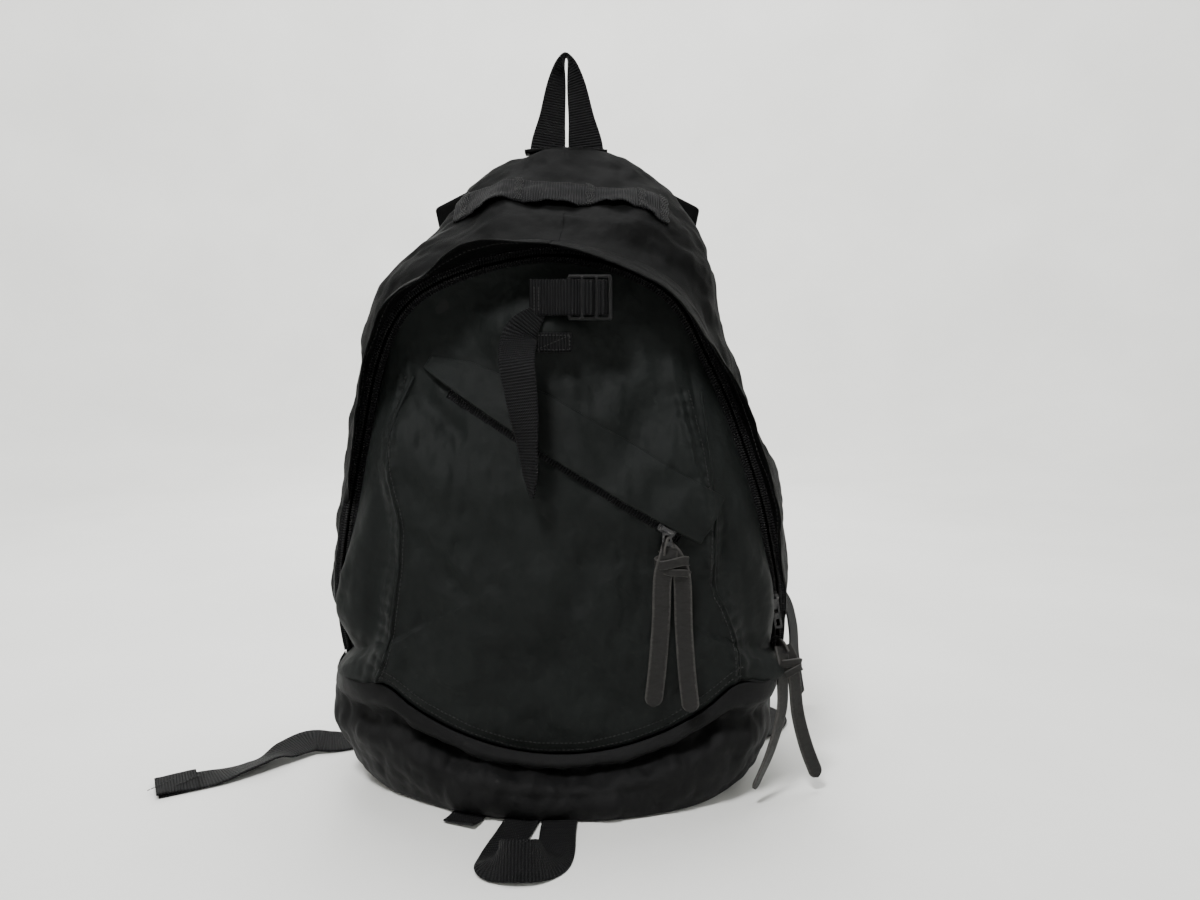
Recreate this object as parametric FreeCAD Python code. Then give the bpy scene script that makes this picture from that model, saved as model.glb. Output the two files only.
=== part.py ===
import FreeCAD, Part
import math
import os

from FreeCAD import Vector

# Ski backpack, in millimetres. The origin is the centre of the base's rest face, +Z is up, the front
# faces -Y and the shoulder straps are at +Y.

# ---- driving dimensions ----
HEIGHT = 495.0            # top seam of the crown
HALF_WIDTH = 176.0        # widest half width of the shell
BACK_Y = 80.0             # inner face of the back panel
FRONT_Y = -88.0           # face of the front pocket
HOOD_Y = -62.0            # free edge of the hood
TOP_SEAM_Y = 66.0         # where the crown meets the back
FOLD_Z = 42.0             # lowest point of the seam that the front door folds about
WALL = 3.0                # padded nylon wall of the shell
CLOTH = 2.5               # wall of the front door
HOOD_WALL = 2.0
WEBBING = 25.0            # width of the common webbing
BELT_WEBBING = 30.0       # width of the waist-belt webbing
WEB_THICK = 2.4           # doubled or stiff webbing
TAPE = 2.0                # thickness of a zip tape with its coil
ZIP_GAP = 2.2             # gap between the two coils, where a slider's post runs
FAR = 400.0               # longer than any side, for cutting shapes

# Half width, top, bottom and crown fullness of the shell at stations along Y.
PACK_STATIONS = [
    (FRONT_Y, 120.0, 340.0, 12.0, 1.0),
    (-76.0, 142.0, 380.0, 0.0, 1.0),
    (HOOD_Y, 157.0, 402.5, -5.0, 1.0),
    (-45.0, 163.0, 406.0, -6.0, 1.0),
    (-20.0, 170.0, 428.0, -6.0, 1.0),
    (15.0, HALF_WIDTH, 457.0, -6.0, 0.96),
    (TOP_SEAM_Y, 162.0, HEIGHT, -6.0, 0.82),
    (BACK_Y, 154.0, 490.0, 0.0, 0.80),
]
DOOR_STATIONS = [
    (FRONT_Y, 118.0, 340.0, 36.0, 1.15),
    (-66.0, 139.0, 356.0, 30.0, 1.05),
    (-54.0, 147.0, 376.0, 26.0, 1.0),
    (-45.0, 150.5, 394.0, 24.0, 1.0),
    (5.0, 163.5, 422.0, 24.0, 1.0),
]
# The main zip runs in a flat plane round the top and swoops back down each side: (y, z) points.
ZIP_LINE = [(-10.0, FOLD_Z), (-16.0, 93.0), (-43.0, 178.0), (-45.0, 190.0), (-45.0, 460.0)]


# ---- shapes ----
def outline(y, half_width, top, bottom, crown, inset=0.0):
    """Closed teardrop curve at one station: flat below, widest at a third of its height."""
    width, low, high = half_width - inset, bottom + inset, top - inset
    side = [(0.60, 0.0), (0.92, 0.08), (1.0, 0.35), (0.95, 0.60), (0.82 * crown, 0.80), (0.56 * crown, 0.94)]
    right = [Vector(width * u, y, low + (high - low) * v) for u, v in side]
    left = [Vector(-p.x, p.y, p.z) for p in reversed(right)]
    curve = Part.BSplineCurve()
    curve.interpolate(Points=[Vector(0, y, low)] + right + [Vector(0, y, high)] + left, PeriodicFlag=True)
    return Part.Wire([curve.toShape()])


def loft(stations, inset=0.0):
    return Part.makeLoft([outline(*station, inset=inset) for station in stations], True, True)


def block(x0, x1, y0, y1, z0, z1):
    return Part.makeBox(x1 - x0, y1 - y0, z1 - z0, Vector(x0, y0, z0))


def prism(points, direction):
    """Closed polygon extruded along a vector."""
    return Part.Face(Part.makePolygon(points + [points[0]])).extrude(direction)


def band_edges(points, thickness):
    """Outline of a bent strip whose middle line is the given 2D points."""
    near, far = [], []
    for i, point in enumerate(points):
        before = points[max(i - 1, 0)]
        after = points[min(i + 1, len(points) - 1)]
        tx, ty = after[0] - before[0], after[1] - before[1]
        size = math.hypot(tx, ty)
        ox, oy = -ty / size * thickness / 2, tx / size * thickness / 2
        near.append((point[0] + ox, point[1] + oy))
        far.append((point[0] - ox, point[1] - oy))
    return near + far[::-1]


def hanging_strip(points_yz, thickness, x0, x1):
    """Webbing or pad whose side view is a bent strip, as wide as x0 to x1."""
    return prism([Vector(x0, y, z) for y, z in band_edges(points_yz, thickness)], Vector(x1 - x0, 0, 0))


def floor_strip(points_xy, width, z0, thickness):
    """Webbing lying flat: its plan is a bent strip."""
    return prism([Vector(x, y, z0) for x, y in band_edges(points_xy, width)], Vector(0, 0, thickness))


def bar(start, end, width, thickness, across):
    """Straight strip from start to end, its width as near to the direction across as it can be."""
    along = end - start
    side = (across - along * (across.dot(along) / along.dot(along))).normalize()
    face = along.cross(side).normalize()
    corner = start - side * (width / 2) - face * (thickness / 2)
    outline_points = [corner, corner + side * width, corner + side * width + along, corner + along]
    return prism(outline_points, face * thickness)


def slab_behind(shift):
    """Everything behind the zip line moved along Y by shift."""
    line = [Vector(-FAR, y + shift, z) for y, z in ZIP_LINE]
    start, end = ZIP_LINE[0], ZIP_LINE[-1]
    line = [Vector(-FAR, start[0] + shift, -FAR)] + line + [Vector(-FAR, end[0] + shift, FAR * 2)]
    return prism(line + [Vector(-FAR, FAR, FAR * 2), Vector(-FAR, FAR, -FAR)], Vector(2 * FAR, 0, 0))


def below_front_seam():
    """Everything below the curved bottom seam of the front door, an arc that rises to both sides."""
    sagitta, half = 52.0, 125.0
    rise = [Vector(-half, -FAR, FOLD_Z + sagitta), Vector(0, -FAR, FOLD_Z), Vector(half, -FAR, FOLD_Z + sagitta)]
    arc = Part.Arc(*rise).toShape()
    corners = [rise[2], Vector(FAR, -FAR, FOLD_Z + sagitta), Vector(FAR, -FAR, -FAR),
               Vector(-FAR, -FAR, -FAR), Vector(-FAR, -FAR, FOLD_Z + sagitta), rise[0]]
    edges = [arc] + [Part.makeLine(a, b) for a, b in zip(corners, corners[1:])]
    return Part.Face(Part.Wire(edges)).extrude(Vector(0, 2 * FAR, 0))


NODES = {}


def keep(name, shape):
    """Store one node, as its solids."""
    solids = [solid for solid in shape.removeSplitter().Solids if solid.Volume > 1.0]
    NODES[name] = solids[0] if len(solids) == 1 else Part.makeCompound(solids)


# ---- shell of the pack ----
outer = loft(PACK_STATIONS)
inner = loft(PACK_STATIONS, WALL)
body_side = slab_behind(0)
door_side = block(-FAR, FAR, -FAR, FAR, -FAR, 2 * FAR).cut(body_side)
seam_below = below_front_seam()


def make_shell():
    ring = outer.cut(inner)
    upper = ring.common(body_side).common(block(-FAR, FAR, -FAR, FAR, FOLD_Z, 2 * FAR))
    crown_z = 385.0
    keep("crown_panel", upper.common(block(-FAR, FAR, -FAR, FAR, crown_z, 2 * FAR)))
    keep("side_panel_left", upper.common(block(-FAR, 0, -FAR, FAR, 0, crown_z)))
    keep("side_panel_right", upper.common(block(0, FAR, -FAR, FAR, 0, crown_z)))

    hollow = inner.common(block(-FAR, FAR, FRONT_Y + WALL, FAR, WALL, 2 * FAR))
    tub = outer.cut(hollow).common(block(-FAR, FAR, -FAR, FAR, 0, 2 * FAR))
    split_y = ZIP_LINE[0][0]
    keep("base_panel", tub.common(block(-FAR, FAR, split_y, FAR, 0, FOLD_Z)))
    keep("base_front_panel",
         tub.common(block(-FAR, FAR, -FAR, split_y, 0, 2 * FAR)).common(door_side).common(seam_below))

    back = Part.Face(outline(*PACK_STATIONS[-1])).cut(Part.Face(
        Part.makePolygon([Vector(x, BACK_Y, z) for x, z in
                          [(-FAR, 0), (FAR, 0), (FAR, -FAR), (-FAR, -FAR), (-FAR, 0)]])))
    keep("back_lining", back.extrude(Vector(0, 1.5, 0)))
    foam, cover = back.copy(), back.copy()
    foam.translate(Vector(0, 1.5, 0))
    cover.translate(Vector(0, 6.5, 0))
    keep("back_foam", foam.extrude(Vector(0, 5.0, 0)))
    keep("back_panel", cover.extrude(Vector(0, 1.5, 0)))


def make_hood():
    """Rain flap: carries the shell's line forward over the main zip, and tapers out down the sides."""
    band = loft(PACK_STATIONS).cut(loft(PACK_STATIONS, HOOD_WALL)).common(door_side)
    side_view = [(-30.0, 128.0), (HOOD_Y, 215.0), (HOOD_Y, 480.0), (0.0, 480.0), (0.0, 128.0)]
    keep("hood_flap", band.common(prism([Vector(-FAR, y, z) for y, z in side_view], Vector(2 * FAR, 0, 0))))


# ---- main zip ----
ZIP_OUTER, ZIP_MIDDLE = HOOD_WALL, 6.0


def zip_ring(inset_out, inset_in):
    above_fold = block(-FAR, FAR, -FAR, FAR, FOLD_Z, 2 * FAR)
    ring = loft(PACK_STATIONS, inset_out).cut(loft(PACK_STATIONS, inset_in))
    strip = door_side.common(slab_behind(-TAPE))
    return ring.common(strip).common(above_fold).cut(seam_below)


def make_main_zip():
    keep("main_zip_outer_tape", zip_ring(ZIP_OUTER, ZIP_MIDDLE))
    keep("main_zip_inner_tape", zip_ring(ZIP_MIDDLE + ZIP_GAP, ZIP_MIDDLE + ZIP_GAP + 4.5))


# ---- front door ----
POCKET_SLOPE = math.radians(-31.5)
SLIT_MIDDLE = (2.0, 250.0)
SLIT_HALF = 96.0
along_slit = Vector(math.cos(POCKET_SLOPE), 0, math.sin(POCKET_SLOPE))
up_slit = Vector(-math.sin(POCKET_SLOPE), 0, math.cos(POCKET_SLOPE))


def on_slit(s, up, y):
    """Point at distance s down the pocket zip and up above it."""
    return Vector(SLIT_MIDDLE[0], y, SLIT_MIDDLE[1]) + along_slit * s + up_slit * up


def slit_strip(s0, s1, up0, up1, y0, y1):
    corners = [on_slit(s0, up0, y0), on_slit(s1, up0, y0), on_slit(s1, up1, y0), on_slit(s0, up1, y0)]
    return prism(corners, Vector(0, y1 - y0, 0))


def make_door():
    tape_front = slab_behind(-TAPE)
    dish = loft(DOOR_STATIONS).cut(tape_front).cut(seam_below)
    hollow = loft(DOOR_STATIONS, CLOTH).common(block(-FAR, FAR, FRONT_Y + CLOTH, FAR, -FAR, 2 * FAR))
    lifted_seam = below_front_seam()
    lifted_seam.translate(Vector(0, 0, CLOTH))
    slot = slit_strip(-SLIT_HALF, SLIT_HALF, -6.0, 6.0, FRONT_Y - 1, FRONT_Y + CLOTH + 1)
    keep("door_shell", dish.cut(hollow.cut(lifted_seam)).cut(slot))
    lining = loft(PACK_STATIONS, ZIP_MIDDLE + ZIP_GAP + 4.5).common(tape_front).cut(slab_behind(-0.4))
    keep("door_lining", lining.cut(seam_below).common(block(-FAR, FAR, -FAR, FAR, FOLD_Z, 2 * FAR)))

    half = ZIP_GAP / 2
    keep("pocket_zip_upper_tape", slit_strip(-SLIT_HALF, SLIT_HALF, half, 6.0, FRONT_Y, FRONT_Y + TAPE))
    keep("pocket_zip_lower_tape", slit_strip(-SLIT_HALF, SLIT_HALF, -6.0, -half, FRONT_Y, FRONT_Y + TAPE))

    # The flap is sewn down along its top and stands off the slider along its lower edge.
    top, low = 38.0, 4.0
    profile = [(top, FRONT_Y), (top - 12, FRONT_Y), (low, FRONT_Y - 5.2), (low, FRONT_Y - 6.7),
               (top - 11, FRONT_Y - 1.5), (top, FRONT_Y - 1.5)]
    start = -SLIT_HALF - 14
    keep("pocket_flap", prism([on_slit(start, up, y) for up, y in profile], along_slit * (2 * SLIT_HALF + 22)))


# ---- lash strap on the door ----
LASH_Z = 361.0


def make_lash():
    face = FRONT_Y + 6.0
    keep("lash_webbing", block(-24, 4, face - WEB_THICK, face, LASH_Z - 12.5, LASH_Z + 12.5))
    frame = block(5, 36, face - 4, face, LASH_Z - 16, LASH_Z + 16)
    for x in (8.0, 19.0, 29.0):
        frame = frame.cut(block(x, x + 4.5, face - 9, face + 9, LASH_Z - 12.7, LASH_Z + 12.7))
    keep("lash_buckle", frame)
    backing = block(-10, 30, face, face + 40, LASH_Z - 12, LASH_Z + 12)
    keep("lash_backing", backing.cut(loft(DOOR_STATIONS)))
    stub = block(-17, 9, FRONT_Y - 3, FRONT_Y, 322, 335)
    keep("lash_keeper", stub)
    route = [(face - 3.8, 358.0), (face - 9.0, 351.0), (-100.5, 338.0), (-102.6, 320.0), (-102.6, 226.0)]
    keep("lash_tail", hanging_strip(route, 1.6, -36.0, -14.0))


# ---- sliders and pulls ----
def slider_body(middle, along, out, width=9.0, length=13.0):
    """Zip slider: front plate, thin post through the coil gap and back plate."""
    half = along * (length / 2)
    across = along.cross(out)
    front = bar(middle - half + out * 2.0, middle + half + out * 2.0, width, 2.6, across)
    back = bar(middle - half - out * 4.0, middle + half - out * 4.0, width, 1.6, across)
    post = bar(middle - half * 0.5 - out * 1.2, middle + half * 0.5 - out * 1.2, 4.2, 0.9, out)
    return front.fuse([back, post])


def leather_pull(x, y, top, tails):
    """Knotted leather lace: a knot and two flat tails with round tips."""
    knot = block(x - 9, x + 9, y - 4.5, y + 4.5, top - 14, top)
    parts = [knot]
    for offset, drop in tails:
        tail = block(x + offset - 5.5, x + offset + 5.5, y - 1.2, y + 1.2, top - drop, top - 13)
        parts.append(tail)
        tip = Part.makeCylinder(5.5, 2.4, Vector(x + offset, y - 1.2, top - drop), Vector(0, 1, 0))
        parts.append(tip)
    return parts[0].fuse(parts[1:])


POCKET_SLIDER_S = 84.0


def make_pocket_slider():
    middle = on_slit(POCKET_SLIDER_S, 0, FRONT_Y)
    keep("pocket_slider", slider_body(middle, along_slit, Vector(0, -1, 0), 8.0))
    x, z = middle.x, middle.z
    tab = block(x - 3.5, x + 3.5, -93.2, -91.6, z - 17, z - 5)
    keep("pocket_slider_tab", tab)
    keep("pocket_leather_pull", leather_pull(x, -96.0, z - 7 - 10.5, [(-6.2, 112), (6.2, 115)]).cut(
        block(x - 9, x + 9, -93.9, -80, 0, FAR)))


UPPER_SLIDER_Z = 143.0
LOWER_SLIDER_Z = 104.0


def on_main_zip(z):
    """Middle of the main zip on the right side, at height z of its straight slanted run."""
    (y0, z0), (y1, z1) = ZIP_LINE[1], ZIP_LINE[2]
    y = y0 + (y1 - y0) * (z - z0) / (z1 - z0)
    ray = Part.makeLine(Vector(0, y, z), Vector(FAR, y, z))
    reach = loft(PACK_STATIONS, ZIP_MIDDLE + ZIP_GAP / 2).common(ray)
    return Vector(reach.BoundBox.XMax, y, z)


def make_main_sliders():
    upper, lower = on_main_zip(UPPER_SLIDER_Z), on_main_zip(LOWER_SLIDER_Z)
    run = (upper - lower).normalize()
    out = Vector(0, -1, 0)
    out = (out - run * out.dot(run)).normalize()
    half = run * 6.5
    for name, place in (("upper_main_slider", upper), ("lower_main_slider", lower)):
        middle = place + out * (TAPE + 1.9)
        keep(name, bar(middle - half, middle + half, 6.4, 3.0, run.cross(out)))
    tab = upper + out * (TAPE + 4.6)
    keep("upper_slider_tab", block(tab.x + 4, tab.x + 9.5, tab.y - 3, tab.y - 1.4, tab.z - 18, tab.z + 2))
    # The lower pull hangs clear of the base, tied to its slider by a short lace.
    eye = lower + out * (TAPE + 5.0)
    knot = Vector(lower.x + 12.5, -48.0, lower.z + 2)
    lace = bar(eye, Vector(knot.x - 5, knot.y + 4, knot.z - 6), 3.0, 2.4, Vector(0, 0, 1))
    keep("lower_leather_pull", leather_pull(knot.x, knot.y, knot.z, [(-6.2, 84), (6.2, 86)]).fuse(lace))


# ---- crown fittings ----
def make_crown_fittings():
    # The lash strip follows the crown round: the shell's own line, thickened over a 25 mm band.
    strip_y0, strip_y1 = -4.0, 18.0
    over = loft(PACK_STATIONS, -3.4).cut(loft(PACK_STATIONS, -0.6))
    region = block(-90, 90, strip_y0, strip_y1, 405.0, 2 * FAR)
    keep("lash_strip", over.common(region))
    tacks = []
    for x in (-80.0, -38.0, 0.0, 38.0, 80.0):
        under = loft(PACK_STATIONS, -0.6).cut(outer)
        tacks.append(under.common(block(x - 5, x + 5, strip_y0, strip_y1, 380.0, 2 * FAR)))
    keep("lash_strip_bartacks", tacks[0].fuse(tacks[1:]))
    anchor = block(-34, 34, TOP_SEAM_Y - 6, TOP_SEAM_Y + 12, HEIGHT - 22, HEIGHT + 2.5).cut(outer)
    keep("haul_loop_anchor", anchor)

    top, tip = HEIGHT + 79.0, 9.0
    legs = [Vector(-33, TOP_SEAM_Y, HEIGHT + 4.2), Vector(33, TOP_SEAM_Y, HEIGHT + 4.2),
            Vector(tip, TOP_SEAM_Y, top), Vector(-tip, TOP_SEAM_Y, top)]
    gap = [Vector(-4.5, TOP_SEAM_Y, HEIGHT + 7), Vector(4.5, TOP_SEAM_Y, HEIGHT + 7),
           Vector(3.4, TOP_SEAM_Y, top - 8), Vector(-3.4, TOP_SEAM_Y, top - 8)]
    loop = prism(legs, Vector(0, 3, 0)).cut(prism(gap, Vector(0, 3, 0)))
    keep("haul_loop", loop)


# ---- back, straps and belt ----
SHELL_BACK = BACK_Y + 8.0
STRAP_TOP = Vector(64.0, 94.0, 466.0)
STRAP_FOOT = Vector(142.0, 93.5, 26.0)


def mirrored(shape):
    return shape.mirror(Vector(0, 0, 0), Vector(1, 0, 0))


def make_back():
    keep("back_pad", block(-95, 95, SHELL_BACK, SHELL_BACK + 5, 150, 400))
    keep("lumbar_pad", block(-91, 91, SHELL_BACK, SHELL_BACK + 6, 38, 130))
    pouch = block(-118, 118, BACK_Y - 12, BACK_Y, 30, 330)
    keep("inner_sleeve", pouch.cut(block(-115.5, 115.5, BACK_Y - 9.5, BACK_Y + 1, 32.5, 331)))
    keep("sleeve_binding", block(-118, 118, BACK_Y - 13, BACK_Y - 8.5, 330, 340))
    for side, flip in (("left", True), ("right", False)):
        wing_points = [(52, 486), (84, 452), (113, 449), (104, 414), (52, 436)]
        wing = prism([Vector(x, SHELL_BACK, z) for x, z in wing_points], Vector(0, 4.0, 0))
        foot = prism([Vector(x, SHELL_BACK, z) for x, z in [(104, 8), (134, 22), (150, 18), (126, 3)]],
                     Vector(0, 4.0, 0))
        tab = prism([Vector(x, 34, z) for x, z in [(120, 3.2), (163, 3.2), (163, 6.2), (120, 30)]],
                    Vector(0, BELT_WEBBING, 0))
        for name, shape in (("strap_wing", wing), ("strap_anchor", foot), ("belt_anchor", tab)):
            keep(f"{name}_{side}", (mirrored(shape) if flip else shape).cut(outer))


def make_straps():
    pad_line = [(96.5, 462.0), (112.0, 438.0), (121.0, 390.0), (123.0, 320.0), (118.0, 240.0), (108.0, 172.0)]
    pad = hanging_strip(pad_line, 9.0, 48.0, 106.0).cut(block(0, FAR, 0, FAR, 440, FAR * 2))
    neck = hanging_strip(pad_line[:2], 5.0, 60.0, 92.0).common(block(0, FAR, 0, FAR, 440, 2 * FAR))
    adjuster = block(-17, 17, -2.2, 2.2, -16, 16)
    for z in (-10.0, 4.0):
        adjuster = adjuster.cut(block(-12.8, 12.8, -9, 9, z, z + 6))
    adjuster.rotate(Vector(0, 0, 0), Vector(1, 0, 0), 8)
    adjuster.translate(Vector(80, 105.0, 154.0))
    webbing_top = Vector(86.0, 100.2, 146.0)
    webbing = bar(webbing_top, STRAP_FOOT, WEBBING, WEB_THICK, Vector(1, 0.1, 0.4))
    for side, flip in (("left", True), ("right", False)):
        for name, shape in (("shoulder_pad", pad.fuse(neck)), ("strap_adjuster", adjuster),
                            ("strap_webbing", webbing)):
            keep(f"{name}_{side}", mirrored(shape) if flip else shape)
    # The left tail hangs straight behind the pack; the right one is thrown out to the side.
    keep("strap_tail_left", hanging_strip([(111.5, 135), (113, 110), (113, 40)], 1.8, -92.5, -67.5))
    right_route = [(100, 138), (150, 134), (180, 124), (194, 98), (196, 70), (214, 12)]
    tail = prism([Vector(x, 109.0, z) for x, z in band_edges(right_route, 1.8)], Vector(0, WEBBING, 0))
    keep("strap_tail_right", tail)


def make_belt():
    left_route = [(-166, 49), (-215, 56), (-250, 30), (-282, -4)]
    keep("waist_belt_left", floor_strip(left_route, BELT_WEBBING, 0.0, WEB_THICK))
    fold_route = [(-283, -5), (-304, -27)]
    keep("belt_end_left", floor_strip(fold_route, BELT_WEBBING + 1, 0.0, WEB_THICK * 2))
    right_route = [(166, 50), (185, 88), (150, 118), (90, 126), (-30, 122)]
    keep("waist_belt_right", floor_strip(right_route, BELT_WEBBING, 0.0, WEB_THICK))
    keep("belt_end_right", floor_strip([(-31, 122), (-60, 120)], BELT_WEBBING + 1, 0.0, WEB_THICK * 2))


def make_base_fittings():
    loop_points = [(-37, -85), (12, -85), (8, -186), (-50, -186)]
    hole_points = [(-15, -96), (-11, -96), (-12, -160), (-30, -160)]
    loop = prism([Vector(x, y, 0) for x, y in loop_points], Vector(0, 0, WEB_THICK))
    loop = loop.cut(prism([Vector(x, y, -1) for x, y in hole_points], Vector(0, 0, 9)))
    keep("base_loop", loop)
    keep("base_webbing_stub", prism([Vector(x, y, 0) for x, y in [(-84, -66), (-48, -66), (-44, -106), (-76, -100)]],
                                    Vector(0, 0, WEB_THICK)).cut(outer))


def main():
    make_shell()
    make_hood()
    make_main_zip()
    make_door()
    make_lash()
    make_pocket_slider()
    make_main_sliders()
    make_crown_fittings()
    make_back()
    make_straps()
    make_belt()
    make_base_fittings()
    os.makedirs("parts", exist_ok=True)
    for name, shape in NODES.items():
        shape.exportStep(f"parts/{name}.step")
        print(name, len(shape.Solids), round(shape.Volume), shape.isValid())


main()
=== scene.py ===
import math

import bpy
import numpy as np
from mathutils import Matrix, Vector, noise
from mathutils.bvhtree import BVHTree


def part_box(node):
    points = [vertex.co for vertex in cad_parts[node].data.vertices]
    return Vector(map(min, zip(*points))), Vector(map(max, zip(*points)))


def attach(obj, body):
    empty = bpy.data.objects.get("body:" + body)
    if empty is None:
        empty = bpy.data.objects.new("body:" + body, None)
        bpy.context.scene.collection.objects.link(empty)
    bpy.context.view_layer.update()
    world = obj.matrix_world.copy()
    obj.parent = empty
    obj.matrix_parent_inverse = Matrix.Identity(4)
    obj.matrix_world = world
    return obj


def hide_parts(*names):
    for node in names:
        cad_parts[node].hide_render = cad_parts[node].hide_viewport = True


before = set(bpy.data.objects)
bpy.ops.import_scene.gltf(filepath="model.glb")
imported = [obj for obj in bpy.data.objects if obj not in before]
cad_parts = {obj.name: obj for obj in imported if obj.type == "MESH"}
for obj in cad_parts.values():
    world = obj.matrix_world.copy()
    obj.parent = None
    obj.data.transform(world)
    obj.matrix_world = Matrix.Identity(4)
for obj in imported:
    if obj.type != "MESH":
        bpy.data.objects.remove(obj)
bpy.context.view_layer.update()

# Ski backpack. Shapes are worked out in millimetres in the CAD frame and scaled once, when a mesh is made.
MM = 0.001

# ---- driving dimensions, the same as the frame's ----
FOLD_Z = 42.0             # lowest point of the seam that the front door folds about
BACK_Y = 80.0             # inside of the back panel
FRONT_Y = -88.0           # front pocket's face
HOOD_Y = -62.0            # free edge of the hood
WEBBING = 25.0
BELT_WEBBING = 30.0
SIDES = (("left", -1), ("right", 1))
# y, half width, top, bottom and fullness of the crown
STATIONS = np.array([
    (-88.0, 120.0, 340.0, 12.0, 1.0),
    (-76.0, 142.0, 380.0, 0.0, 1.0),
    (-62.0, 157.0, 402.5, -5.0, 1.0),
    (-45.0, 163.0, 406.0, -6.0, 1.0),
    (-20.0, 170.0, 428.0, -6.0, 1.0),
    (15.0, 176.0, 457.0, -6.0, 0.96),
    (66.0, 162.0, 495.0, -6.0, 0.82),
    (80.0, 154.0, 490.0, 0.0, 0.80),
])
# (y, z) points of the plane that the main zip lies in: flat round the top, swept back down the sides
ZIP_LINE = np.array([(-10.0, 42.0), (-16.0, 93.0), (-43.0, 178.0), (-45.0, 190.0), (-45.0, 460.0)])
POCKET_SLOPE = math.radians(-31.5)     # of the front pocket's diagonal zip
SLIT_MIDDLE = (2.0, 250.0)
SLIT_HALF = 96.0
EYE = np.array([28.0, -734.0, 330.0])  # where the camera stands


# =====================================================================================================
# Materials
# =====================================================================================================
class Shader:
    """A small helper for building node materials."""

    def __init__(self, name):
        self.material = bpy.data.materials.new(name)
        self.material.use_nodes = True
        self.nodes = self.material.node_tree.nodes
        self.links = self.material.node_tree.links
        self.bsdf = self.nodes["Principled BSDF"]

    def add(self, kind, inputs=None, **settings):
        node = self.nodes.new(kind)
        for key, value in settings.items():
            setattr(node, key, value)
        for key, value in (inputs or {}).items():
            self.put(node.inputs[key], value)
        return node

    def put(self, socket, value):
        if isinstance(value, bpy.types.NodeSocket):
            self.links.new(value, socket)
        else:
            socket.default_value = value

    def math(self, operation, a, b=0.0, c=0.0):
        node = self.add("ShaderNodeMath", {0: a, 1: b, 2: c}, operation=operation)
        return node.outputs[0]

    def coords(self, kind="Object", scale=(1, 1, 1), rotation=(0, 0, 0)):
        source = self.add("ShaderNodeTexCoord").outputs[kind]
        mapping = self.add("ShaderNodeMapping", {"Vector": source, "Scale": scale, "Rotation": rotation})
        return mapping.outputs[0]

    def noise(self, vector, scale, detail=3.0, roughness=0.55):
        node = self.add("ShaderNodeTexNoise", {"Vector": vector, "Scale": scale, "Detail": detail,
                                               "Roughness": roughness})
        return node.outputs["Fac"]

    def wave(self, vector, pitch, direction="X", distortion=0.0):
        """Bands a pitch apart, in metres."""
        inputs = {"Vector": vector, "Scale": math.pi / 10 / pitch, "Distortion": distortion, "Detail": 1.0}
        node = self.add("ShaderNodeTexWave", inputs, bands_direction=direction)
        return node.outputs["Fac"]

    def ramp(self, value, low, high, low_color, high_color):
        node = self.add("ShaderNodeValToRGB", {"Fac": value})
        node.color_ramp.elements[0].position, node.color_ramp.elements[1].position = low, high
        node.color_ramp.elements[0].color = (*low_color, 1)
        node.color_ramp.elements[1].color = (*high_color, 1)
        return node.outputs["Color"]

    def bump(self, height, strength, distance, under=None):
        inputs = {"Height": height, "Strength": strength, "Distance": distance}
        if under is not None:
            inputs["Normal"] = under
        return self.add("ShaderNodeBump", inputs).outputs["Normal"]

    def mix(self, factor, a, b):
        node = self.add("ShaderNodeMix", data_type="RGBA")
        self.put(node.inputs["Factor"], factor)
        self.put(node.inputs["A"], a if isinstance(a, bpy.types.NodeSocket) else (*a, 1))
        self.put(node.inputs["B"], b if isinstance(b, bpy.types.NodeSocket) else (*b, 1))
        return node.outputs["Result"]

    def finish(self, color, roughness, normal, **extra):
        self.put(self.bsdf.inputs["Base Color"], color if isinstance(color, bpy.types.NodeSocket)
                 else (*color, 1))
        self.put(self.bsdf.inputs["Roughness"], roughness)
        if normal is not None:
            self.put(self.bsdf.inputs["Normal"], normal)
        for key, value in extra.items():
            self.put(self.bsdf.inputs[key.replace("_", " ")], value)
        return self.material


THREAD_PITCH = 0.0007     # yarn spacing of the nylon, metres


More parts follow.
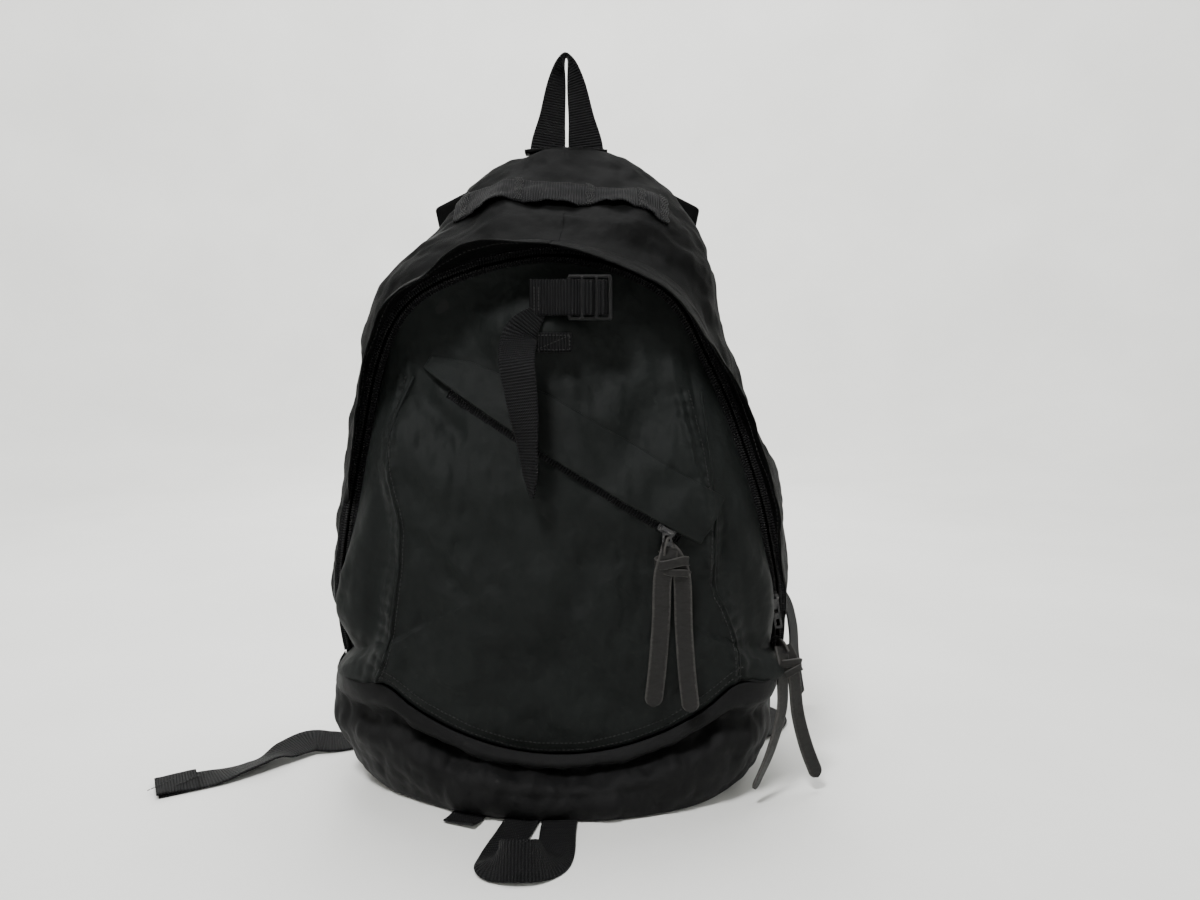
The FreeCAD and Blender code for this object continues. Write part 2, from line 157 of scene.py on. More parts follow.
def nylon(name, color, crinkle=1.0, use_uv=True, rough=0.6, sheen=0.012, specular=0.10):
    """Plain-weave nylon: fine over-and-under yarns, soft crinkles, slightly uneven dye and lint."""
    s = Shader(name)
    place = "UV" if use_uv else "Object"
    uv = s.coords(place)
    solid = s.coords("Object")
    warp = s.wave(uv, THREAD_PITCH, "X", 0.6)
    weft = s.wave(uv, THREAD_PITCH, "Y", 0.6)
    weave = s.math("MULTIPLY", warp, weft)
    slub = s.noise(s.coords(place, (1, 9, 1)), 900.0, 1.0)
    fine = s.bump(s.math("ADD", weave, s.math("MULTIPLY", slub, 0.5)), 0.35, 0.0003)
    small = s.bump(s.noise(solid, 160.0, 3.0), 0.30 * crinkle, 0.0012, fine)
    broad = s.bump(s.noise(solid, 42.0, 3.0, 0.5), 0.40 * crinkle, 0.004, small)
    patch = s.noise(solid, 9.0, 4.0)
    dark = tuple(c * 0.82 for c in color)
    light = tuple(c * 1.22 for c in color)
    dye = s.ramp(patch, 0.35, 0.68, dark, light)
    grain = s.ramp(s.math("ADD", s.math("MULTIPLY", weave, 0.6), s.math("MULTIPLY", slub, 0.4)),
                   0.15, 0.75, (0.80, 0.80, 0.80), (1.18, 1.18, 1.18))
    tinted = s.add("ShaderNodeMix", {"Factor": 1.0}, data_type="RGBA", blend_type="MULTIPLY")
    s.put(tinted.inputs["A"], dye)
    s.put(tinted.inputs["B"], grain)
    lint = s.add("ShaderNodeTexVoronoi", {"Vector": solid, "Scale": 70.0}).outputs["Distance"]
    speck = s.ramp(lint, 0.012, 0.022, (1, 1, 1), (0, 0, 0))
    sparse = s.math("GREATER_THAN", s.noise(solid, 24.0, 1.0), 0.70)
    faded = s.mix(s.math("MULTIPLY", s.math("MULTIPLY", speck, sparse), 0.35),
                  tinted.outputs["Result"], (0.25, 0.25, 0.24))
    roughness = s.math("MULTIPLY_ADD", patch, 0.18, rough - 0.09)
    return s.finish(faded, roughness, broad, Sheen_Weight=sheen, Sheen_Roughness=0.45,
                    Sheen_Tint=(0.75, 0.8, 0.8, 1), Specular_IOR_Level=specular)


def webbing_material(name, color, rib=0.0021):
    """Ribbed nylon webbing: ribs across the strap, a fine twill between them and denser selvedges. Its colour
    has painted highlight on the rib tops and painted shade in the gaps between them.
    """
    s = Shader(name)
    uv = s.coords("UV")
    ribs = s.wave(uv, rib, "Y", 0.15)
    twill = s.wave(s.coords("UV", (1, 1, 1), (0, 0, math.radians(32))), 0.0013, "X", 0.3)
    height = s.math("ADD", ribs, s.math("MULTIPLY", twill, 0.4))
    fuzz = s.noise(s.coords("Object"), 1400.0, 2.0)
    near = s.bump(fuzz, 0.15, 0.0002)
    normal = s.bump(height, 0.9, 0.0007, near)
    # Painted highlight and painted shade: the colour follows the rib height, lighter on the rib tops and darker
    # in the gaps, with random fuzz mixed in.
    tone = s.ramp(s.math("MULTIPLY_ADD", fuzz, 0.25, s.math("MULTIPLY", height, 0.62)), 0.12, 0.92,
                  tuple(c * 0.3 for c in color), tuple(c * 2.6 for c in color))
    rub = s.noise(s.coords("Object"), 60.0, 3.0)
    worn = s.mix(s.ramp(rub, 0.60, 0.80, (0, 0, 0), (0.35, 0.35, 0.35)), tone, tuple(c * 3.4 for c in color))
    return s.finish(worn, 0.58, normal, Sheen_Weight=0.008, Sheen_Roughness=0.4, Specular_IOR_Level=0.06)


def leather_material(name):
    """Waxed black lace leather, rubbed brown-grey along its edges; UV u runs across the lace."""
    s = Shader(name)
    uv = s.add("ShaderNodeSeparateXYZ", {"Vector": s.add("ShaderNodeTexCoord").outputs["UV"]}).outputs
    across = s.math("ABSOLUTE", s.math("SUBTRACT", uv["X"], 0.5))
    solid = s.coords("Object")
    pores = s.add("ShaderNodeTexVoronoi", {"Vector": solid, "Scale": 1500.0}).outputs["Distance"]
    creases = s.noise(s.coords("Object", (1, 1, 2.6)), 260.0, 4.0, 0.65)
    near = s.bump(pores, 0.25, 0.0003)
    normal = s.bump(creases, 0.55, 0.0008, near)
    edge = s.math("MULTIPLY", s.math("SUBTRACT", s.math("ADD", across, s.math("MULTIPLY", creases, 0.22)),
                                     0.47), 7.0)
    edge = s.add("ShaderNodeClamp", {"Value": edge}).outputs[0]
    tone = s.ramp(creases, 0.3, 0.75, (0.005, 0.0046, 0.0043), (0.012, 0.0115, 0.011))
    color = s.mix(edge, tone, (0.040, 0.038, 0.036))
    return s.finish(color, s.math("MULTIPLY_ADD", creases, 0.3, 0.38), normal, Specular_IOR_Level=0.18)


def plastic_material(name, color=(0.004, 0.004, 0.0043)):
    s = Shader(name)
    solid = s.coords("Object")
    grain = s.noise(solid, 900.0, 2.0)
    scuff = s.noise(s.coords("Object", (1, 1, 6)), 120.0, 4.0, 0.7)
    tone = s.ramp(scuff, 0.45, 0.85, color, tuple(c * 2.6 for c in color))
    return s.finish(tone, s.math("MULTIPLY_ADD", scuff, 0.35, 0.22), s.bump(grain, 0.12, 0.0002),
                    Specular_IOR_Level=0.22)


def metal_material(name):
    """Black painted zinc, rubbed bare in places."""
    s = Shader(name)
    solid = s.coords("Object")
    rub = s.noise(solid, 420.0, 4.0, 0.7)
    bare = s.ramp(rub, 0.56, 0.70, (0, 0, 0), (1, 1, 1))
    color = s.mix(bare, (0.018, 0.018, 0.019), (0.16, 0.155, 0.15))
    return s.finish(color, s.math("MULTIPLY_ADD", rub, 0.3, 0.25), s.bump(rub, 0.2, 0.0002),
                    Metallic=s.math("MULTIPLY_ADD", bare, 0.6, 0.3))


def coil_material(name, dark, light):
    s = Shader(name)
    fuzz = s.noise(s.coords("Object"), 1200.0, 2.0)
    return s.finish(s.ramp(fuzz, 0.3, 0.7, (dark,) * 3, (light,) * 3), 0.5, s.bump(fuzz, 0.3, 0.0002),
                    Specular_IOR_Level=0.2)


MATERIALS = {
    # nylon_shell and nylon_base are darker than nylon_front: partly their own tone, partly painted shade
    # standing in for the sides and base, which are in shade.
    "nylon_shell": nylon("nylon_shell", (0.0022, 0.0023, 0.0023), sheen=0.004, specular=0.04),
    "nylon_front": nylon("nylon_front", (0.0060, 0.0072, 0.0068), 1.15),
    "nylon_base": nylon("nylon_base", (0.0044, 0.0044, 0.0046), 0.9),
    "lining": nylon("lining", (0.009, 0.0094, 0.0094), 0.7, True, 0.5),
    "pad_fabric": nylon("pad_fabric", (0.0072, 0.0072, 0.0075), 0.8, False, 0.7),
    "webbing": webbing_material("webbing", (0.0042, 0.0042, 0.0045)),
    "thread": coil_material("thread", 0.010, 0.022),
    "leather": leather_material("leather"),
    "plastic": plastic_material("plastic"),
    "metal": metal_material("metal"),
    "coil": coil_material("coil", 0.005, 0.012),
}


# =====================================================================================================
# Mesh tools, in millimetres
# =====================================================================================================
def add_piece(name, points, faces, material, body, nodes=(), uv=None, smooth=True):
    """One visible piece: a mesh that rides on a body and stands for CAD nodes."""
    mesh = bpy.data.meshes.new(name)
    mesh.from_pydata((np.asarray(points, float) * MM).tolist(), [], faces)
    if uv is not None:
        layer = mesh.uv_layers.new(name="UVMap")
        loops = np.empty(len(mesh.loops), int)
        mesh.loops.foreach_get("vertex_index", loops)
        layer.data.foreach_set("uv", np.asarray(uv, float)[loops].ravel())
    mesh.polygons.foreach_set("use_smooth", [smooth] * len(mesh.polygons))
    mesh.materials.append(MATERIALS[material])
    mesh.validate()
    piece = bpy.data.objects.new(name, mesh)
    bpy.context.scene.collection.objects.link(piece)
    if body:
        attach(piece, body)
    if nodes:
        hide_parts(*nodes)
    return piece


def grid_faces(rows, columns, wrap=False, flip=False):
    faces = []
    for i in range(rows - 1):
        for j in range(columns if wrap else columns - 1):
            a, b = i * columns + j, i * columns + (j + 1) % columns
            c, d = b + columns, a + columns
            faces.append((a, d, c, b) if flip else (a, b, c, d))
    return faces


def grid_uv(points):
    """UVs in metres, measured along the rows and columns of a grid of points."""
    along = np.linalg.norm(np.diff(points, axis=1), axis=2).mean(axis=0)
    down = np.linalg.norm(np.diff(points, axis=0), axis=2).mean(axis=1)
    u = np.concatenate([[0], np.cumsum(along)])
    v = np.concatenate([[0], np.cumsum(down)])
    return np.stack(np.meshgrid(u, v), axis=2).reshape(-1, 2) * MM


def modifier(piece, kind, **settings):
    added = piece.modifiers.new(kind.lower(), kind)
    for key, value in settings.items():
        setattr(added, key, value)
    return added


def cloth(name, points, material, body, nodes=(), thickness=1.2, flip=False, offset=-1.0, uv=None):
    """A sheet of fabric from a grid of points, with real thickness."""
    rows, columns = points.shape[:2]
    piece = add_piece(name, points.reshape(-1, 3), grid_faces(rows, columns, flip=flip), material, body,
                      nodes, grid_uv(points) if uv is None else uv)
    modifier(piece, "SOLIDIFY", thickness=thickness * MM, offset=offset)
    modifier(piece, "SUBSURF", levels=1, render_levels=1)
    return piece


def bell(x):
    return np.exp(-np.square(x))


def ramp01(x, low, high):
    t = np.clip((x - low) / (high - low), 0, 1)
    return t * t * (3 - 2 * t)


def hermite(x, xs, ys):
    """Smooth curve through (xs, ys), evaluated at x."""
    xs, ys = np.asarray(xs, float), np.asarray(ys, float)
    slopes = np.gradient(ys, xs)
    x = np.clip(x, xs[0], xs[-1])
    i = np.clip(np.searchsorted(xs, x) - 1, 0, len(xs) - 2)
    h = xs[i + 1] - xs[i]
    t = (x - xs[i]) / h
    a, b = 2 * t**3 - 3 * t**2 + 1, t**3 - 2 * t**2 + t
    return a * ys[i] + b * h * slopes[i] + (1 - a) * ys[i + 1] + (t**3 - t**2) * h * slopes[i + 1]


def curve_through(points, step, closed=False):
    """Points about step apart on a smooth curve through the given ones (Catmull-Rom)."""
    p = np.asarray(points, float)
    if closed:
        p = np.vstack([p[-1], p, p[0], p[1]])
    else:
        p = np.vstack([2 * p[0] - p[1], p, 2 * p[-1] - p[-2]])
    dense = []
    for i in range(1, len(p) - 2):
        count = max(int(np.linalg.norm(p[i + 1] - p[i]) / step * 4), 4)
        t = np.linspace(0, 1, count, endpoint=False)[:, None]
        a, b, c, d = p[i - 1], p[i], p[i + 1], p[i + 2]
        dense.append(0.5 * (2 * b + (c - a) * t + (2 * a - 5 * b + 4 * c - d) * t**2
                            + (3 * b - a - 3 * c + d) * t**3))
    dense = np.vstack(dense + [p[-2][None, :]])
    length = run_length(dense)
    count = max(int(round(length[-1] / step)), 2)
    at = np.linspace(0, length[-1], count + 1)
    return np.stack([np.interp(at, length, dense[:, k]) for k in range(dense.shape[1])], axis=1)


def fractal(points, size, seed=0.0):
    """Smooth noise from about -1 to 1 at each point, with features of the given size in mm."""
    return np.array([noise.fractal(Vector(p) / size + Vector((seed, 0, 0)), 0.6, 2.0, 3)
                     for p in np.asarray(points).reshape(-1, 3).tolist()])


def run_length(points):
    """Distance along a line of points, from its first one."""
    return np.concatenate([[0], np.cumsum(np.linalg.norm(np.diff(points, axis=0), axis=1))])


def unit(v):
    v = np.asarray(v, float)
    return v / np.maximum(np.linalg.norm(v, axis=-1, keepdims=True), 1e-9)


def ribbon(name, route, across, width, thickness, material, body, nodes=(), step=3.0, round_end=False):
    """Webbing or lace along a route. across gives the width direction at each route point. width is one
    number or one for each route point."""
    joined = np.hstack([np.asarray(route, float), np.asarray(across, float) * 100,
                        np.broadcast_to(np.asarray(width, float).reshape(-1, 1), (len(route), 1))])
    dense = curve_through(joined[:, :3], step)
    chord = run_length(joined[:, :3])
    chord = chord / chord[-1]
    t = np.linspace(0, 1, len(dense))
    side = unit(np.stack([hermite(t, chord, joined[:, 3 + k]) for k in range(3)], axis=1))
    widths = hermite(t, chord, joined[:, 6])
    tangent = unit(np.gradient(dense, axis=0))
    side = unit(side - tangent * np.sum(side * tangent, axis=1, keepdims=True))
    out = np.cross(tangent, side)
    length = run_length(dense)
    if round_end:
        left = np.clip((length[-1] - length) / (widths / 2), 0, 1)
        widths = widths * np.maximum(np.sqrt(1 - (1 - left) ** 2), 0.12)
    # Half section: flat faces with softly rounded selvedges.
    w = [-0.5, -0.49, -0.46, -0.40, -0.2, 0.0, 0.2, 0.40, 0.46, 0.49, 0.5]
    h = [0.0, 0.30, 0.45, 0.5, 0.47, 0.46, 0.47, 0.5, 0.45, 0.30, 0.0]
    section = [(a, b) for a, b in zip(w, h)] + [(a, -b) for a, b in list(zip(w, h))[-2:0:-1]]
    rows = [dense + side * (widths[:, None] * a) + out * (thickness * b) for a, b in section]
    points = np.stack(rows, axis=1)
    count = len(section)
    faces = grid_faces(len(dense), count, wrap=True)
    faces += [tuple(range(count)), tuple(reversed(range((len(dense) - 1) * count, len(dense) * count)))]
    # Leather's u runs from 0 to 1 across the lace, so that its cut edges can be found. Other u's are metres.
    u = np.array([a + 0.5 if material == "leather" else a * np.max(widths) * MM for a, _ in section])
    uv = np.stack(np.meshgrid(u, length * MM), axis=2)
    return add_piece(name, points.reshape(-1, 3), faces, material, body, nodes, uv.reshape(-1, 2))


def tube_faces(rows, columns):
    faces = grid_faces(rows, columns, wrap=True)
    faces += [tuple(reversed(range(columns))), tuple(range((rows - 1) * columns, rows * columns))]
    return faces


def tubes(name, paths, radius, material, body, nodes=(), sides=6):
    """Round strands along several paths, as one piece."""
    points, faces, start = [], [], 0
    angle = np.linspace(0, 2 * math.pi, sides, endpoint=False)
    for path in paths:
        path = np.asarray(path, float)
        tangent = unit(np.gradient(path, axis=0))
        helper = np.where(np.abs(tangent[:, 2:3]) > 0.9, [[1.0, 0, 0]], [[0, 0, 1.0]])
        a = unit(np.cross(tangent, helper))
        b = np.cross(tangent, a)
        for p, u, v in zip(path, a, b):
            points.append(p + radius * (np.cos(angle)[:, None] * u + np.sin(angle)[:, None] * v))
        faces += [tuple(i + start for i in f) for f in tube_faces(len(path), sides)]
        start += len(path) * sides
    return add_piece(name, np.vstack(points), faces, material, body, nodes)


def stitches(name, lines, body, pitch=3.4, length=2.3, radius=0.32, nodes=()):
    """Lock-stitching: short proud threads along each line of surface points."""
    per = 8       # points to a stitch and the gap after it
    used = max(int(per * length / pitch), 3)
    paths = []
    for line in lines:
        dense = curve_through(line, pitch / per)
        paths += [dense[[start, start + used // 2, start + used]] for start in range(0, len(dense) - used, per)]
    return tubes(name, paths, radius, "thread", body, nodes, sides=5)


def coordinates(mesh):
    co = np.empty(len(mesh.vertices) * 3)
    mesh.vertices.foreach_get("co", co)
    return co.reshape(-1, 3)


def bvh_of(piece):
    """Ray target in millimetres: a sheet's outer face, before it is thickened inwards."""
    mesh = piece.data
    points = (coordinates(mesh) / MM).tolist()
    return BVHTree.FromPolygons(points, [tuple(face.vertices) for face in mesh.polygons])


def cast(tree, origin, direction, lift=0.0):
    """First hit from origin, lifted off the surface against the ray."""
    direction = Vector(direction).normalized()
    place = tree.ray_cast(Vector(origin), direction)[0]
    return None if place is None else np.array(place - direction * lift)


def on_front(tree, x, z, lift=0.0):
    hit = cast(tree, (x, -260.0, z), (0, 1, 0), lift)
    return hit if hit is not None else np.array([x, -60.0 - lift, z])


def from_above(tree, x, y, lift=0.0):
    hit = cast(tree, (x, y, 700.0), (0, 0, -1), lift)
    return hit if hit is not None else np.array([x, y, 400.0 + lift])


def distance_to_line(x, z, line):
    """Distance from (x, z) points to a polyline, with the arc length of the nearest place and which side."""
    best = np.full(x.shape, 1e9)
    place, side, run = np.zeros(x.shape), np.zeros(x.shape), 0.0
    for (x0, z0), (x1, z1) in zip(line, line[1:]):
        dx, dz = x1 - x0, z1 - z0
        length = math.hypot(dx, dz)
        t = np.clip(((x - x0) * dx + (z - z0) * dz) / length**2, 0, 1)
        d = np.hypot(x - x0 - t * dx, z - z0 - t * dz)
        closer = d < best
        best = np.where(closer, d, best)
        place = np.where(closer, run + t * length, place)
        side = np.where(closer, np.sign((x - x0) * dz - (z - z0) * dx), side)
        run += length
    return best, place, side


# =====================================================================================================
# The pack's own surfaces: the outline that the frame's panels are lofted through, and how it settles
# =====================================================================================================
RING_COUNT = 720
RING_YS = np.linspace(-88, 80, 85)


def ring_points(y, inset):
    """Teardrop outline at y, from its bottom centre round the right side, over the top and back."""
    _, half, top, bottom, crown = [hermite(y, STATIONS[:, 0], STATIONS[:, k]) for k in range(5)]
    width, low, high = half - inset, bottom + inset, top - inset
    side = [(0.60, 0.0), (0.92, 0.08), (1.0, 0.35), (0.95, 0.60), (0.82 * crown, 0.80), (0.56 * crown, 0.94)]
    right = [(width * u, low + (high - low) * v) for u, v in side]
    left = [(-x, z) for x, z in reversed(right)]
    dense = curve_through([(0, low)] + right + [(0, high)] + left, 2.0, closed=True)
    length = run_length(dense)
    at = np.linspace(0, length[-1], RING_COUNT)
    return np.interp(at, length, dense[:, 0]), np.interp(at, length, dense[:, 1])


def ring_table(inset):
    xs, zs = zip(*[ring_points(y, inset) for y in RING_YS])
    return np.array(xs), np.array(zs)


INSET = 8.0                       # depth of the inner outline, inside the shell
RING_TABLES = {0.0: ring_table(0.0), INSET: ring_table(INSET)}


def shell_place(u, y, inset=0.0):
    """Points of the shell at share u round the outline and depth y."""
    xs, zs = RING_TABLES[inset]
    u, y = np.broadcast_arrays(np.asarray(u, float), np.asarray(y, float))
    fy = np.clip((y - RING_YS[0]) / (RING_YS[1] - RING_YS[0]), 0, len(RING_YS) - 1.001)
    fu = np.clip(u * (RING_COUNT - 1), 0, RING_COUNT - 1.001)
    i, j = fy.astype(int), fu.astype(int)
    a, b = fy - i, fu - j

    def sample(table):
        return ((1 - a) * ((1 - b) * table[i, j] + b * table[i, j + 1])
                + a * ((1 - b) * table[i + 1, j] + b * table[i + 1, j + 1]))

    return np.stack([sample(xs), y, sample(zs)], axis=-1)


def zip_y(z):
    return np.interp(z, ZIP_LINE[:, 1], ZIP_LINE[:, 0])


def settle(p):
    """The lean and sag of the standing pack: it leans left high up, its belly spreads, and its crown stands
    up beside the haul loop."""
    p = np.array(p, float)
    x, y, z = p[..., 0], p[..., 1], p[..., 2]
    held = 1 - 0.6 * ramp01(y, 30, 80)
    narrow = 1 - 0.045 * bell((z - 322) / 62) + 0.032 * bell((z - 138) / 75)
    lean = -11.0 * bell((z - 345) / 62) - 3.0 * ramp01(z, 60, 200) * (1 - ramp01(z, 380, 430))
    tuck = 7.0 * bell((z - 418) / 26) * (x < 0)
    slim = -4.0 * bell((z - 262) / 42) * ramp01(x, 60, 140)
    stand = 4.5 * bell((np.abs(x) - 56) / 26) * ramp01(z, 395, 425)
    p[..., 0] = x * (1 + (narrow - 1) * held) + (lean + tuck + slim) * held
    p[..., 2] = z + stand
    return p


BASE_SIDE = np.array([(98, 171, 167), (80, 175, 164), (62, 176, 160), (41, 174, 157), (23, 166, 153),
                      (8, 156, 145), (0.6, 150, 138)], float)       # height, then half width left and right


def flank(p):
    """Low down in front, the sides stand out to the width of the base."""
    near = (1 - ramp01(p[..., 1], -14, 50)) * ramp01(np.abs(p[..., 0]), 95, 128)
    near = near * (1 - ramp01(p[..., 2], 98, 135))
    for column, sign in ((1, -1), (2, 1)):
        wide = sign * np.interp(p[..., 2], BASE_SIDE[::-1, 0], BASE_SIDE[::-1, column])
        p[..., 0] += np.where(p[..., 0] * sign > 0, (wide - p[..., 0]) * near, 0)
    return p


def smile_z(x):
    """Height of the front door's bottom seam: an arc that rises to both sides."""
    sagitta, half = 52.0, 125.0
    radius = (half**2 + sagitta**2) / (2 * sagitta)
    x = np.minimum(np.abs(x), half)
    return FOLD_Z + radius - np.sqrt(radius**2 - x**2)


def u_at_height(z, y, right=True):
    """Share round the outline where the shell reaches height z."""
    u = np.linspace(0.02, 0.5, 300)
    heights = shell_place(u, np.full(u.shape, y))[:, 2]
    found = float(np.interp(z, heights, u))
    return found if right else 1 - found


def front_edge(u):
    """Depth at which the shell meets the main zip, for shares u round the outline."""
    y = np.full(np.shape(u), -40.0)
    for _ in range(8):
        y = zip_y(shell_place(u, y)[..., 2])
    return y


def grid_normals(p):
    return unit(np.cross(np.gradient(p, axis=0), np.gradient(p, axis=1)))


def rumple(p, size, amount, seed, fade=1.0, stretch=(1.0, 1.0, 1.0)):
    """Soft wrinkles: moves a grid of points along its normals by smooth noise."""
    move = fractal(p * np.array(stretch), size, seed).reshape(p.shape[:2]) * amount * fade
    return p + grid_normals(p) * move[..., None]


def edge_fade(rows, columns, width_rows, width_columns):
    """1 in the middle of a grid and 0 along its edges."""
    i = np.minimum(np.arange(rows), np.arange(rows)[::-1]) / max(width_rows, 1)
    j = np.minimum(np.arange(columns), np.arange(columns)[::-1]) / max(width_columns, 1)
    return ramp01(i, 0, 1)[:, None] * ramp01(j, 0, 1)[None, :]


def square_map(edge, size):
    """Spreads a closed outline over a square grid: each cell's share r of the way out from the middle to the
    outline, and its place on the outline. The outline runs anticlockwise from its bottom right."""
    a, b = np.meshgrid(np.linspace(-1, 1, size), np.linspace(1, -1, size))
    r = np.maximum(np.maximum(np.abs(a), np.abs(b)), 1e-6)
    side = np.where(a >= r - 1e-9, b / r + 1, np.where(b >= r - 1e-9, 3 - a / r, np.where(
        a <= -r + 1e-9, 5 - b / r, a / r + 7)))
    closed = np.vstack([edge, edge[:1]])
    at = side / 8 * len(edge)
    return r, np.stack([np.interp(at, np.arange(len(closed)), closed[:, k]) for k in range(3)], axis=2)


# =====================================================================================================
# Pack body: shell, hood, base and back
# =====================================================================================================
def make_shell():
    rows, columns = 44, 300
    low = u_at_height(FOLD_Z - 6, 20)
    u = np.linspace(low, 1 - low, columns)
    start = front_edge(u)
    t = np.linspace(0, 1, rows)[:, None]
    p = flank(settle(shell_place(u[None, :], start + (BACK_Y - start) * t)))
    fade = edge_fade(rows, columns, 6, 8)
    p = rumple(p, 95.0, 4.2, 3.1, fade, (1, 0.6, 1))
    p = rumple(p, 34.0, 2.4, 8.4, fade, (0.7, 1.6, 1))
    p = rumple(p, 15.0, 0.9, 5.2, fade, (1.3, 0.8, 1))
    return cloth("shell_cloth", p, "nylon_shell", "pack_body",
                 ["crown_panel", "side_panel_left", "side_panel_right"], 1.6, flip=True)


HOOD_FOOT_Z = (128.0, 186.0)      # where the hood tapers out, on the right and on the left
HOOD_FULL_Z = (215.0, 250.0)      # where it reaches its full depth
HEM = 8.0                         # depth of the hood's turned edge
HOOD_OUTLINE = np.array([
    (-160, 140), (-159, 180), (-156.5, 216), (-154.5, 238), (-150, 267), (-145.5, 295), (-139, 331),
    (-134, 349), (-127, 364), (-113, 375), (-97, 382), (-85, 396), (-70, 406.5), (-56, 409), (-28, 407.5),
    (2, 404.5), (28, 396), (55.5, 385), (73, 377), (92, 358), (103.5, 340), (123, 314), (135, 292),
    (145, 263), (154, 234), (161, 197), (164, 168), (168, 130),
], float)                         # the hood's free edge as it looks from the camera, drawn at depth HOOD_Y
HOOD_REACH = 20.0                 # how much further forward it comes round the top
HOOD_REACH_Z = (262.0, 360.0)


def hood_edge():
    """The hood's free edge in space: each point of its outline, moved forward along its line of sight."""
    x, z = HOOD_OUTLINE.T
    y = HOOD_Y - HOOD_REACH * ramp01(z, *HOOD_REACH_Z)
    nearer = ((y - EYE[1]) / (HOOD_Y - EYE[1]))[:, None]
    return EYE + (np.stack([x, np.full(len(x), HOOD_Y), z], axis=1) - EYE) * nearer


def hood_grid(rows=26, columns=260):
    """The hood leaves the shell at the zip and reaches forward to its own free edge, which stands a little off
    the door and steps up at the left shoulder."""
    u = np.linspace(u_at_height(HOOD_FOOT_Z[0], -30), 1 - u_at_height(HOOD_FOOT_Z[1], -30), columns)
    start = front_edge(u)
    z = shell_place(u, start)[:, 2]
    right = ramp01(z, HOOD_FOOT_Z[0], HOOD_FULL_Z[0])
    left = ramp01(z, HOOD_FOOT_Z[1], HOOD_FULL_Z[1])
    full = np.where(u < 0.5, right, left)
    end = -30 + (HOOD_Y + 30) * full
    t = np.linspace(0, 1, rows)[:, None]
    y = start + 1.5 + (np.minimum(end, start - 1) - start - 1.5) * t
    p = settle(shell_place(u[None, :], y))
    reach = np.broadcast_to(t, y.shape)
    # Move the free edge out to its line, measured round the middle of the door.
    middle = np.array([0.0, 215.0])
    free_edge = hood_edge()
    line = free_edge[:, [0, 2]] - middle
    turn = np.unwrap(np.arctan2(line[::-1, 1], line[::-1, 0]))
    span = np.hypot(line[::-1, 0], line[::-1, 1])
    edge = p[-1][:, [0, 2]] - middle
    here = np.arctan2(edge[:, 1], edge[:, 0])
    here = np.where(here < -math.pi / 2, here + 2 * math.pi, here)
    wanted = np.interp(here, turn, span)
    wanted = np.convolve(np.pad(wanted, 2, mode="edge"), [0.1, 0.22, 0.36, 0.22, 0.1], mode="valid")
    away = edge / np.linalg.norm(edge, axis=1)[:, None]
    move = (wanted - np.linalg.norm(edge, axis=1)) * full
    p[..., 0] += away[None, :, 0] * move * reach**1.3
    p[..., 2] += away[None, :, 1] * move * reach**1.3
    forward = np.interp(here, turn, free_edge[::-1, 1]) - HOOD_Y
    p[..., 1] += forward * full * reach
    n = grid_normals(p)
    over = 1.2 + 2.0 * np.sin(reach * math.pi) * fractal(p, 60.0, 5.5).reshape(y.shape)
    over += 0.9 * reach * fractal(p, 24.0, 2.5).reshape(y.shape)
    from_edge = y - y[-1]
    over += 0.8 * (1 - ramp01(from_edge, HEM - 1.2, HEM))
    return p + n * over[..., None], from_edge


def make_hood():
    p, from_edge = hood_grid()
    hood = cloth("hood_cloth", p, "nylon_shell", "pack_body", ["hood_flap"], 1.5, flip=True)
    n = grid_normals(p)
    line = []
    for j in range(6, p.shape[1] - 6, 2):
        rows = from_edge[::-1, j]
        if rows[-1] < HEM + 1:
            continue
        k = np.interp(HEM - 1.8, rows, np.arange(len(rows))[::-1])
        i = int(k)
        line.append(p[i, j] * (1 - k + i) + p[i + 1, j] * (k - i) + n[i, j] * 0.25)
    seam = stitches("hood_hem_stitches", [line], "pack_body")


def bottom_seam():
    """The seam the door folds about: forward along each side at one height, then down in an arc."""
    corner = [(168.0, -15.0, 96.0), (166.0, -38.0, 95.0), (158.0, -60.0, 94.0), (143.0, -76.0, 93.0)]
    x = np.linspace(-124, 124, 15)
    arc = [(a, -86.0 + 4.0 * (a / 124) ** 2, float(smile_z(a))) for a in x]
    line = [(-a, b, c) for a, b, c in corner] + arc + corner[::-1]
    return curve_through(line, 2.5)


def plan_normals(line):
    """Level directions that point out of the pack, along a line that runs from left to right in front."""
    along = np.gradient(line, axis=0)
    return unit(np.stack([along[:, 1], -along[:, 0], np.zeros(len(line))], axis=1))


FOOT_Z = 0.6
BASE_FOOT = [(x, y, FOOT_Z) for x, y in (             # where the front of the base meets the floor
    (-150, -14), (-143, -36), (-125, -57), (-92, -79), (-57, -94), (-28, -100), (2, -102), (28, -101),
    (56, -96), (86, -85), (109, -69), (130, -42), (138, -14))]


